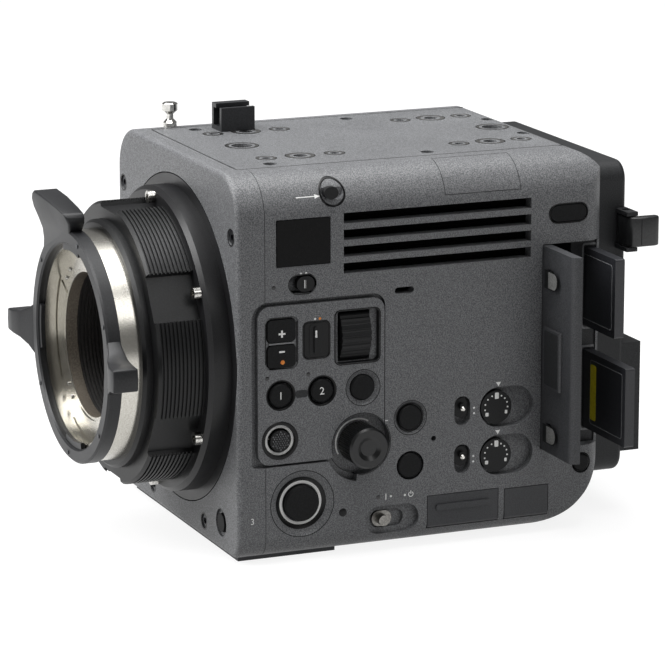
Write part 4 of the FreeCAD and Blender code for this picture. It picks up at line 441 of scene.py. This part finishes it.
lens_axis = 0.0724


def turned(name, dark, pale, rough, ring_scale, depth, metal=0.0, specular=0.5):
    """A lathe-turned finish: rings round the optical axis, over a little grain.

    The wave texture's rings lie 314 / ring_scale mm apart. Real turning marks are about 0.15 mm apart;
    they are drawn far wider, at 5 mm and 3 mm, so that the render shows them.
    """
    material = grained(name, dark, pale, rough, 0.35, depth / 2, metal, specular)
    tree = material.node_tree
    normal = tree.nodes["Principled BSDF"].inputs["Normal"]
    place = add_node(tree, "ShaderNodeTexCoord").outputs["Object"]
    centred = add_node(tree, "ShaderNodeMapping", {"Vector": place, "Location": (0, 0, -lens_axis)})
    rings = add_node(tree, "ShaderNodeTexWave", {
        "Vector": centred.outputs[0], "Scale": ring_scale, "Distortion": 0.6, "Detail": 2.0},
        wave_type="RINGS", rings_direction="Y")
    marks = add_node(tree, "ShaderNodeBump", {
        "Height": rings.outputs["Fac"], "Distance": depth / 1000, "Strength": 0.35,
        "Normal": normal.links[0].from_socket})
    tree.links.new(marks.outputs[0], normal)
    return material


black_anodised = turned("black_anodised_turned", "#131314", "#1d1d1f", 0.36, 62.5, 0.01, specular=0.3)
dress(black_anodised, "mount_disc", "base_ring")


# Adaptor barrel. Black anodising over bead-blasted aluminium, duller than the
# rings; its ribs are cut into the six raised pads.

blasted_anodised = grained("black_anodised_blasted", "#0b0b0c", "#191a1b", 0.4, 0.45, 0.04, specular=0.3)
dress(blasted_anodised, "adaptor_body")


# Screws. Stainless socket heads round the adaptor; the covers have black oxide
# ones, and round each front one a thin dark ring is painted as the shade of its recess.

mount_plane = Matrix(((0.001, 0, 0, 0), (0, 0, -0.001, front_face), (0, 0.001, 0, lens_axis), (0, 0, 0, 1)))

# Turned stainless steel: small bright heads that mirror the studio.
stainless = grained("stainless_turned", "#a8a6a2", "#d6d4cf", 0.22, 0.7, 0.01, metal=1.0)
dress(stainless, "adaptor_screws", "door_pin", "selector_gimbal")

# Black oxide on steel: dark, with a dull gleam of metal on its edges.
black_oxide = grained("black_oxide_steel", "#232426", "#3d3f43", 0.34, 0.5, 0.01, metal=0.6)
dress(black_oxide, "body_screws")

front_screws = [(56.5, 48.3), (-56.5, 48.3), (27.3, -63.8), (-27.3, -63.8)]
# A thin black ring round each front screw: painted shade of its recess.
layer("front_screw_shade_rims", [[circle(x, y, 2.75, 32), circle(x, y, 3.3, 32)] for x, y in front_screws],
      (0.04, 0.04), black_abs_and_shade, nodes=("front_panel",), plane=mount_plane, filled=False)


# Lens seat. Brass plated with nickel, turned and polished: the bright band and the
# sunk flange face, with four pads milled proud of it and small stainless screws
# between them. The throat's wall is dull, and the tube behind it black and ribbed.

def arc(x, y, inner, outer, start, stop, count=24):
    """A flat C between two radii, from one angle to the other in degrees."""
    degrees = [start + (stop - start) * i / count for i in range(count + 1)]
    return around(x, y, outer, degrees) + around(x, y, inner, degrees[::-1])


def revolve(mesh, profile, facets=96):
    """A closed turned ring round the optical axis, from a profile of (radius, height) points."""
    rims = [around(0, 0, radius, [360 * i / facets for i in range(facets)]) for radius, height in profile]
    rings = [[mesh.verts.new((*rim[i], height)) for rim, (radius, height) in zip(rims, profile)]
             for i in range(facets)]
    for one, two in zip(rings, rings[1:] + rings[:1]):
        bridge(mesh, one, two)


# Polished plate: a bright warm grey, with soft rings in its highlights.
polished_nickel = turned("polished_nickel_plate", "#b3b0a8", "#cfccc4", 0.24, 100.0, 0.01, metal=1.0)
dress(polished_nickel, "lens_seat")
layer("seat_pads", [[arc(0, 0, 28.2, 35.4, k * 90 - 31, k * 90 + 31, 20)] for k in range(4)], (34.5,),
      polished_nickel, nodes=None, plane=mount_plane, sink=0.5)

seat_screws = [mount_plane @ Vector((x, y, 34.25)) for x, y in around(
    0, 0, 31.8, (40, 50, 130, 140, 220, 230, 310, 320))]
heads("seat_screws", seat_screws, (0.95, 0.8, 0.5), 16, out_of_front, stainless)
# A black hex on each screw head stands for its socket hole: painted shade.
heads("seat_sockets", [screw - Vector((0, 0.00026, 0)) for screw in seat_screws], (0.45, 0.45, 0.06), 6,
      out_of_front, black_abs_and_shade)

# The same plate, left dull against glare: a darker warm grey that mirrors nothing.
bore_nickel = grained("dull_nickel_bore", "#7d756b", "#9b9387", 0.62, 0.5, 0.01, metal=1.0)
mesh = bmesh.new()
revolve(mesh, [(26.94, 29.6), (26.94, 33.9), (27.2, 33.9), (27.2, 29.6)])
settled("throat_wall", mesh, mount_plane, bore_nickel)

# Black anodised ribs, coloured a dark warm grey instead of black: painted light, so that the ribs read in the
# throat's shade.
ribs_painted_light = grained("black_anodised_ribs_painted_light", "#2b2a2a", "#3d3b3a", 0.5, 0.5, 0.01)
ribbed = [(28.25, 18.0), (28.25, 29.4)]
for k in range(8):
    crest = 29.4 - k * 1.425
    ribbed += [(27.05, crest), (27.05, crest - 0.65), (27.75, crest - 0.75), (27.75, crest - 1.325)]
ribbed.append((27.05, 18.0))
mesh = bmesh.new()
revolve(mesh, ribbed)
settled("throat_tube", mesh, mount_plane, ribs_painted_light)


# Breech-lock ring. Aluminium, milled with three wings that rise towards their tips
# and four lugs inside, then anodised black with a satin sheen; blued set screws.

satin_anodised = grained("black_anodised_satin", "#19191b", "#242527", 0.4, 0.5, 0.012, specular=0.35)
dress(satin_anodised, "lock_ring")

mesh = bmesh.new()
revolve(mesh, [(38.0, 36.7), (43.35, 36.7), (43.35, 41.1), (42.6, 41.85), (38.7, 41.85), (38.0, 41.2)])
right_wing = [(41.5, -9.0), (45.5, -6.6), (50.0, -4.6), (55.0, -3.9), (60.4, -3.6), (60.9, 0.6), (60.4, 4.8),
              (55.0, 5.1), (50.0, 5.9), (45.5, 8.2), (41.5, 11.0)]
left_wing = [(-x, -y - 1.2) for x, y in right_wing]
top_wing = [(-29.5, 29.5), (-27.4, 35.5), (-25.2, 40.0), (-24.8, 44.0), (-26.6, 48.0), (-28.8, 50.6),
            (-28.3, 52.8), (-26.0, 54.2), (-14.0, 53.4), (-2.0, 51.6), (3.6, 50.4), (5.0, 48.8), (4.6, 46.4),
            (1.0, 42.0), (-6.0, 41.0)]
for outline in (right_wing, left_wing, top_wing):
    slab(mesh, outline, 36.75, 41.7, reach=4.4)
for k in range(4):
    lug = arc(0, 0, 35.7, 38.2, k * 90 - 13, k * 90 + 13, 12)
    low_lug = [mesh.verts.new((x, y, 39.4)) for x, y in lug]
    top_lug = [mesh.verts.new((x, y, 40.9)) for x, y in lug]
    mesh.faces.new(low_lug)
    mesh.faces.new(top_lug)
    bridge(mesh, low_lug, top_lug)
ring = settled("breech_ring", mesh, mount_plane, satin_anodised, "lock_ring")
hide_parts("lock_ring")

set_screws = [mount_plane @ Vector((x, y, 41.9)) for x, y in around(0, 0, 41.0, (22, 75, 140, 212, 265, 320))]
heads("ring_set_screws", set_screws, (0.9, 0.8, 0.3), 16, out_of_front, black_oxide, body="lock_ring")


# Light baffle. Rings inside the mount under black flock paint, matt all over, so
# that light dies between them.

flock = grained("flock_black", "#151517", "#262628", 0.8, 0.4, 0.05, specular=0.2)
dress(flock, "light_baffle")


# Tape hook and cable clamp. A turned and polished steel post, and a small
# folded clamp with satin black paint.

# Polished steel: the brightest mirror on the body.
polished_steel = grained("polished_steel_post", "#c9c8c4", "#e0dfdb", 0.12, 0.9, 0.004, metal=1.0)
dress(polished_steel, "tape_hook")

# Satin paint on folded sheet: an even black with a broad soft light.
clamp_paint = grained("satin_black_clamp", "#1a1b1d", "#2a2b2e", 0.42, 0.4, 0.02)
dress(clamp_paint, "cable_clamp")


# Badge plate. A plain inlay set into its pocket, under gloss black lacquer that
# mirrors the studio only faintly.

badge_lacquer = grained("gloss_black_lacquer", "#050506", "#0a0a0b", 0.12, 1.2, 0.002, specular=0.1)
dress(badge_lacquer, "badge_plate")


# Push buttons. Silicone rubber caps, moulded fine matt, with a faint grey bloom.
# Rounded ABS bezels stand round their wells, and two caps carry a printed number.

# Where the round buttons sit on the side: mm back from the front face, mm up from the base.
display_at = (48.6, 62.6)
menu_at = (67.4, 49.5)
back_at = (67.4, 31.5)
slot_at = (137.2, 25.3)

lip_rises = (0.02, 0.26, 0.34, 0.26, 0.02)


def trim(name, loops, rises, nodes=covers):
    """A moulded ABS ring or frame round a hole of the covers."""
    layer(name, [loops], rises, black_abs_and_shade, nodes=nodes, filled=False)


def round_lip(x, y, inner, outer):
    """The five circles of a rounded lip."""
    return [circle(x, y, inner + (outer - inner) * step / 4) for step in range(5)]


def frame_lip(x, y, long, high, corner, near, far):
    """The five frames of a rounded lip, each wider than the given size by near to far."""
    grows = [near + (far - near) * step / 4 for step in range(5)]
    return [rounded(x, y, long + grow, high + grow, corner + grow / 2) for grow in grows]


def shade_ring(name, place, radius):
    """A thin black ring round a well: painted shade along the well's edge."""
    trim(name, [circle(*place, radius, 64), circle(*place, radius + 0.3, 64)], (0.04, 0.04))


def figure(name, text, size, x, y, finish, body, node_name):
    """A plain printed number, centred on a point of the side."""
    curve = bpy.data.curves.new(name, "FONT")
    curve.body = text
    curve.size = size
    curve.extrude = 0.1
    curve.align_x = "CENTER"
    curve.align_y = "CENTER"
    writer = bpy.data.objects.new(name + "_curve", curve)
    bpy.context.scene.collection.objects.link(writer)
    bpy.context.view_layer.update()
    flat = bpy.data.meshes.new_from_object(writer.evaluated_get(bpy.context.evaluated_depsgraph_get()))
    mesh = bmesh.new()
    mesh.from_mesh(flat)
    bmesh.ops.remove_doubles(mesh, verts=mesh.verts[:], dist=0.0001)
    ground = surface(side_plane, (node_name,))(x, y)
    for vert in mesh.verts:
        vert.co = (x + vert.co.x, y + vert.co.y, ground + (0.05 if vert.co.z > 0 else -0.1))
    bpy.data.objects.remove(writer)
    settled(name, mesh, side_plane, finish, body)


rubber_cap = grained("silicone_rubber_caps", "#0c0c0d", "#171819", 0.56, 0.5, 0.015, specular=0.16)
dress(rubber_cap, "record_button", "assign_button_1", "assign_button_2", "assign_button_3", "display_button",
      "menu_button", "back_button", "slot_button", "clips_button", "nd_plus_button", "nd_minus_button")

trim("assign_bezel_1", round_lip(16.6, 62.7, 4.62, 5.7), lip_rises)
trim("assign_bezel_2", round_lip(32.6, 63.0, 4.62, 5.7), lip_rises)
trim("menu_bezel", round_lip(*menu_at, 4.95, 5.5), lip_rises)
trim("back_bezel", round_lip(*back_at, 4.95, 5.35), lip_rises)
trim("slot_bezel", round_lip(*slot_at, 3.45, 3.95), lip_rises)
trim("clips_bezel", frame_lip(130.4, 120.7, 14.9, 6.3, 3.1, 0.0, 1.3), lip_rises)
shade_ring("display_outline", display_at, 6.55)
shade_ring("menu_outline", menu_at, 6.3)
# A dark patch in the housing nylon's colour over the groove between buttons 1 and 2: painted shade.
layer("bridge_recess_shade", [[rounded(24.6, 62.6, 4.6, 2.8, 0.9)]], (0.04,), moulded_nylon)

# Two-part ink, pad printed: crisp edges, a little glossier than the coat.
white_ink = grained("white_print_ink", "#f2f2f0", "#fcfcfa", 0.42, 0.9, 0.004)
figure("number_1", "1", 3.9, 16.5, 62.5, white_ink, "assign_button_1", "assign_button_1")
figure("number_2", "2", 3.9, 32.5, 62.8, white_ink, "assign_button_2", "assign_button_2")
figure("number_3", "3", 3.2, 5.4, 16.8, white_ink, "camera_body", "front_panel")


# Record button's surround. A dished ABS ring round the cap, with a printed white
# ring inside it; the domed black lens of its lamp stands beside it.

record_at = (24.8, 21.6)
trim("record_dish", [circle(*record_at, radius, 64) for radius in (8.25, 8.6, 9.2, 9.8)],
     (0.04, 0.04, 0.04, 0.04))
shade_ring("record_outline", record_at, 12.2)
layer("record_white_ring", [[circle(*record_at, 7.2, 64), circle(*record_at, 8.2, 64)]], (0.05, 0.05),
      white_ink, filled=False)
layer("record_lens", [[circle(40.72, 16.54, radius, 24) for radius in (0.4, 1.1, 1.55)]], (0.28, 0.2, 0.02),
      black_abs_and_shade)


# Filter step buttons. A plus and a minus cap in one frame, with black strips painted round
# them as the shade of their gaps, a grey bar between them and an amber lamp in the lower one.

def strip(x0, y0, x1, y1):
    """An upright rectangle as a loop."""
    return [(x0, y0), (x1, y0), (x1, y1), (x0, y1)]


def marked(name, node_name, finish, outline):
    """A printed mark that rides on a moving control."""
    layer(name, [[outline]], (0.05,), finish, body=node_name, nodes=(node_name,))


# The same ink in amber and in grey.
amber_ink = grained("amber_print_ink", "#d97a26", "#ee9440", 0.42, 0.9, 0.004)
grey_ink = grained("grey_print_ink", "#77787a", "#8a8b8d", 0.42, 0.9, 0.004)

# Black strips in the gaps round the caps: painted shade.
layer("step_gap_shade", [[rounded(10.85, 81.9, 0.55, 15.0, 0.2)], [rounded(22.95, 81.9, 0.55, 15.0, 0.2)],
                           [rounded(16.9, 91.15, 9.0, 0.5, 0.2)], [rounded(16.9, 72.65, 9.0, 0.5, 0.2)]],
      (0.05,), black_abs_and_shade)
layer("step_bar", [[rounded(16.9, 81.8, 9.6, 0.56, 0.25)]], (0.55,), grey_ink)
marked("plus_mark", "nd_plus_button", white_ink,
       [(15.7, 85.0), (16.65, 85.0), (16.65, 84.05), (17.35, 84.05), (17.35, 85.0), (18.3, 85.0),
        (18.3, 85.7), (17.35, 85.7), (17.35, 86.65), (16.65, 86.65), (16.65, 85.7), (15.7, 85.7)])
marked("minus_mark", "nd_minus_button", white_ink, strip(15.9, 78.5, 18.1, 79.1))
marked("minus_lamp", "nd_minus_button", amber_ink, circle(17.24, 74.9, 0.8, 20))


# Thumb stick. Its rubber cap is moulded with a field of small round studs, in
# rows set half a step apart; a bezel and a printed white ring lie round it.

stick_at = (16.2, 46.0)
stick_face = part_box("selector_stick")[1][0] + 0.00005
trim("stick_bezel", [circle(*stick_at, radius) for radius in (5.65, 5.9, 6.4, 6.9, 7.1)], lip_rises)
layer("stick_white_ring", [[circle(*stick_at, 4.65), circle(*stick_at, 5.55)]], (0.05, 0.05), white_ink,
      filled=False)

# The studs are coloured paler than the cap.
stud_rubber = grained("pale_stud_rubber", "#4a4b4d", "#606163", 0.4, 0.5, 0.01)
studs = []
for row in range(-4, 5):
    for column in range(-5, 6):
        x, y = (column + (row % 2) / 2) * 0.95, row * 0.82
        if math.hypot(x, y) < 3.3:
            spot = side_plane @ Vector((stick_at[0] + x, stick_at[1] + y, 0))
            studs.append((stick_face, spot.y, spot.z))
heads("stick_studs", studs, (0.36, 0.2, 0.3), 10, out_of_side, stud_rubber, body="selector_stick")


# Slide switches, thumb wheel, level dials and the stick's cap. Black ABS, moulded
# matt, in ABS pockets with rounded rims; steel pins in the two audio slides.

matt_abs = grained("matt_abs", "#0c0c0d", "#161718", 0.48, 0.4, 0.015, specular=0.24)
dress(matt_abs, "lock_switch", "focus_switch", "nd_switch", "audio_switch_1", "audio_switch_2", "nd_wheel",
      "audio_dial_1", "audio_dial_2", "selector_stick", "cooling_fan")

mode_at = (30.4, 82.0)
wheel_at = (46.4, 81.9)
rim_rises = (0.02, 0.16, 0.2, 0.16, 0.02)
trim("lock_bezel", round_lip(37.4, 134.9, 4.3, 5.1), lip_rises)
trim("focus_bezel", frame_lip(25.0, 102.9, 9.6, 6.2, 3.1, 0.0, 1.4), lip_rises)
trim("mode_rim", frame_lip(*mode_at, 9.8, 13.1, 1.8, -0.1, 1.1), rim_rises, ("control_plate",))
trim("wheel_rim", frame_lip(*wheel_at, 17.0, 19.4, 1.8, -0.1, 1.2), rim_rises, ("control_plate",))
trim("mode_wall", [rounded(*mode_at, 9.5, 12.8, 1.65), rounded(*mode_at, 9.74, 13.04, 1.8)], (-2.0, -0.02),
     None)
trim("wheel_wall", [rounded(*wheel_at, 16.7, 19.1, 1.65), rounded(*wheel_at, 16.94, 19.34, 1.8)],
     (-2.15, -0.02), None)
layer("mode_pocket_liner", [[rounded(*mode_at, 9.4, 12.7, 1.6)]], (0.05,), black_abs_and_shade,
      nodes=("control_plate",))
marked("mode_line", "nd_switch", white_ink, strip(29.65, 83.0, 30.35, 85.6))
marked("focus_line", "focus_switch", white_ink, strip(25.6, 101.4, 26.1, 104.4))

for k in (1, 2):
    node_name = "audio_switch_%d" % k
    low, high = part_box(node_name)
    pin = (high[0] + 0.0002, (low[1] + high[1]) / 2, (low[2] + high[2]) / 2)
    heads("audio_pin_%d" % k, [pin], (0.95, 0.55, 0.5), 20, out_of_side, stainless, body=node_name)


# Level dials' print. Each knob carries a scale of dots round its face, two
# longer marks at the ends of its turn and an index at the top.

dot_angles = (63, 42, 20, -3, 112, 138, 164, 190)
for k, y in ((1, 50.0), (2, 31.8)):
    node_name = "audio_dial_%d" % k
    scale = [[circle(*dot, 0.33, 12)] for dot in around(102.0, y, 4.6, dot_angles)]
    for angle, long in ((-28, 1.0), (214, 1.3)):
        scale.append([rounded(*around(102.0, y, 4.5, (angle,))[0], long, 1.4, 0.35)])
    layer("level_scale_%d" % k, scale, (0.05,), white_ink, body=node_name, nodes=(node_name,))
    layer("level_index_%d" % k, [[rounded(102.2, y + 4.3, 1.6, 2.4, 0.4)]], (0.05,), white_ink,
          body=node_name, nodes=(node_name,))


# Main dial. Knurled aluminium, anodised black, with a dished face that takes a
# sharper sheen; a printed arc runs part of the way round it.

dial_anodised = grained("black_anodised_dial", "#0b0b0c", "#161718", 0.3, 0.5, 0.012, specular=0.4)
dress(dial_anodised, "menu_dial")

dial_at = (48.0, 41.6)
shade_ring("dial_outline", dial_at, 11.4)
layer("dial_arc", [[arc(*dial_at, 8.2, 8.8, 59, 209)]], (0.05,), white_ink)


# Power switch. A slide with a short pin for the thumb, nickel plated; years of
# thumbs have dulled it to a soft grey.

thumbed_nickel = grained("thumbed_nickel", "#6d6b68", "#8a8884", 0.34, 0.6, 0.01, metal=1.0)
dress(thumbed_nickel, "power_switch")


# Print and lamps on the side. Switch positions, pointers over the level dials, the
# lock's arrow and plain power and headphone signs in ink; lamps under smoked lenses.

position_dots = [circle(x, y, radius, 16) for x, y, radius in (
    (24.41, 106.7, 0.45), (26.42, 106.75, 0.45), (29.87, 89.75, 0.42), (92.9, 50.7, 0.4), (92.9, 48.65, 0.4),
    (92.75, 32.4, 0.4), (92.75, 30.35, 0.4), (59.72, 20.64, 0.45), (65.31, 20.49, 0.45))]
level_pointers = [[(x - 1, y), (x + 1, y), (x, y - 1.6)] for x, y in ((102.7, 59.5), (102.6, 41.3))]
power_signs = [strip(57.55, 19.5, 57.95, 21.8), arc(67.71, 20.6, 0.75, 1.05, -240, 60),
               strip(67.56, 20.7, 67.86, 22.0)]
menu_dash = [strip(57.4, 49.2, 61.4, 49.5)]
lock_arrow = [strip(23.3, 133.9, 31.0, 134.2), [(30.4, 133.3), (32.6, 134.05), (30.4, 134.8)]]
headphones = [strip(119.9, 13.2, 120.3, 14.9), strip(122.1, 13.2, 122.5, 14.9),
              arc(121.2, 14.7, 1.15, 1.45, 0, 180)]
white_signs = position_dots + level_pointers + power_signs + menu_dash + lock_arrow + headphones
layer("white_marks", [[outline] for outline in white_signs], (0.05,), white_ink)
layer("amber_mark", [[circle(31.75, 89.75, 0.5, 16)]], (0.05,), amber_ink)

# Smoked polycarbonate, polished: nearly black, with one sharp point of light.
lamp_lens = grained("smoked_lamp_lens", "#0a0a0b", "#101012", 0.1, 1.5, 0.002)
lamps_at = ((11.32, 69.4), (27.25, 69.6), (54.71, 20.81), (13.95, 102.44))
layer("panel_lamps", [[circle(*place, radius, 20) for radius in (0.25, 0.6, 0.75)] for place in lamps_at],
      (0.12, 0.1, 0.02), lamp_lens)


# Card and jack covers. The card cover is a hinged moulding and the jack cover a
# rubber one; both are coloured darker than the coat, partly as painted shade of the body's lower edge.

# Darker than the coat: partly the covers' own tint, partly painted shade of the lower body.
cover_skin = grained("cover_skin_tint_and_shade", "#2a2b2d", "#3a3b3e", 0.52, 0.42, 0.04)
dress(cover_skin, "card_cover", "jack_cover")


# Media door. The rear housing's nylon, painted paler as light on a face the lamps barely reach; each finger
# notch has a pale plate, painted reflection, with a round end over a dark inlay of painted shade; a plain
# label lies between.

# Paler than the housing's nylon: painted light, as the lamps barely reach the door's face.
door_nylon_painted_light = grained("moulded_nylon_door_painted_light", "#28292b", "#424346", 0.5, 0.42, 0.04)
dress(door_nylon_painted_light, "media_door")

door_face = -41.05
notches_up = (97.9, 39.9)
face_plane = Matrix(((0.001, 0, 0, 0), (0, 0, -0.001, 0), (0, 0.001, 0, 0), (0, 0, 0, 1)))


def half_round(left, right, middle, radius):
    """A strip with a square left end and a round right end, as a loop."""
    end = around(right - radius, middle, radius, [-90 + 11.25 * i for i in range(17)])
    return [(left, middle - radius)] + end + [(left, middle + radius)]


# An even pale grey that mirrors nothing: the plates' brightness is painted reflection of their steel.
lit_notch_plate = grained("notch_plate_painted_reflection", "#636362", "#838381", 0.4, 0.5, 0.01)
# A dark half-round in each notch, left of its plate: painted shade.
layer("notch_shade_inlays", [[half_round(66.5, 77.3, up, 3.5)] for up in notches_up], (door_face + 0.06,),
      black_abs_and_shade, body="media_door", nodes=None, plane=face_plane, sink=0.15)
layer("notch_plates", [[half_round(69.8, 76.9, up, 3.0)] for up in notches_up], (door_face + 0.2,),
      lit_notch_plate, body="media_door", nodes=None, plane=face_plane, sink=0.2)
layer("door_label", [[rounded(72.4, 68.5, 11.0, 20.4, 0.8)]], (door_face + 0.04,), moulded_nylon,
      body="media_door", nodes=None, plane=face_plane, sink=0.15)


# Memory cards. Black polycarbonate with a fine matt texture; a thin grey frame is
# printed on each face, and card B has a stripe of yellow film.

card_shell = grained("card_polycarbonate", "#212225", "#303135", 0.42, 0.4, 0.012)
dress(card_shell, "memory_card_a", "memory_card_b")

# Printed polyester film: a flat, clear yellow.
yellow_film = grained("yellow_label_film", "#c9b914", "#dccd2c", 0.38, 1.4, 0.004)


def card_label(name, node_name, shape, rise, finish, filled):
    """A thin print on a card's face: shape gives its loops from the card's right edge and middle, in mm."""
    low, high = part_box(node_name)
    loops = shape(high[0] * 1000, (low[2] + high[2]) * 500)
    layer(name, [loops], [rise - low[1] * 1000] * len(loops), finish, body=node_name, nodes=None,
          plane=face_plane, filled=filled)


def frame_loops(right, middle):
    """The two edges of a thin frame."""
    return [rounded(right - 15.5, middle, 25.6 + d, 24.0 + d, 1.2) for d in (0, 0.5)]


def stripe_loops(right, middle):
    """One upright stripe."""
    return [rounded(right - 26.0, middle, 4.6, 21.0, 0.8)]


card_label("card_frame_a", "memory_card_a", frame_loops, 0.04, grey_ink, False)
card_label("card_frame_b", "memory_card_b", frame_loops, 0.04, grey_ink, False)
card_label("card_stripe", "memory_card_b", stripe_loops, 0.05, yellow_film, True)


# Slot frames. Moulded frames round the two card slots, set back in the media bay;
# their rims are coloured a flat pale grey.

# A flat pale grey for the rims.
pale_rim = grained("pale_slot_rim", "#5b5c5e", "#77787a", 0.4, 0.5, 0.02)
for name, up in (("slot_frame_1", 91.4), ("slot_frame_2", 52.6)):
    layer(name, [[rounded(141.7, up, 5.0, 31.0, 0.8), rounded(141.7, up, 6.2, 32.6, 1.2)]], (-4.8, -4.8),
          pale_rim, nodes=None, filled=False, sink=0.3)


# Dust filters. Pleated black foam behind both grilles, clipped to the covers'
# inner faces, so that no light comes back out between the slats.

foam = grained("pleated_black_foam", "#050505", "#0b0b0c", 0.9, 0.7, 0.2, specular=0.1)
pleats = 18
foam_low = 103.0
foam_high = 128.8
for name, side, front, back in (("filter_right", 1, 39.5, 117.0), ("filter_left", -1, 43.0, 82.0)):
    mesh = bmesh.new()
    folds = []
    for k in range(2 * pleats + 1):
        z = foam_low + (foam_high - foam_low) * k / (2 * pleats)
        outer = 57.2 - 0.9 * (k % 2)
        section = ((outer, front), (outer - 0.5, front), (outer - 0.5, back), (outer, back))
        folds.append([mesh.verts.new((side * x, y, z)) for x, y in section])
    for one, two in zip(folds, folds[1:]):
        bridge(mesh, one, two)
    mesh.faces.new(folds[0])
    mesh.faces.new(folds[-1])
    settled(name, mesh, body_plane, foam)


# Inside. Chassis, boards, sensor, filter and heat sink, seen only through
# the throat and the vents.

# Milled aluminium, left bare: a plain grey metal.
milled_alloy = grained("milled_alloy", "#4a4b4d", "#5c5d60", 0.4, 0.6, 0.01, metal=1.0)
dress(milled_alloy, "chassis_frame")

# Dark anodised fins: nearly black behind the vents.
sink_anodised = grained("dark_anodised_fins", "#0d0e0f", "#17181a", 0.5, 0.6, 0.01)
dress(sink_anodised, "heat_sink")

# Solder resist over copper: a dull dark green.
board_resin = grained("solder_resist", "#123524", "#1c4a33", 0.3, 0.8, 0.02)
dress(board_resin, "main_board", "control_board")

# Coated cover glass: a dark blue that mirrors sharply.
sensor_glass = grained("coated_sensor_glass", "#141a2c", "#1b2438", 0.06, 2.0, 0.001)
dress(sensor_glass, "image_sensor")

# Black anodised frame, blasted matt.
filter_black = grained("filter_frame_black", "#0e0e10", "#19191b", 0.6, 0.4, 0.01)
dress(filter_black, "nd_filter")
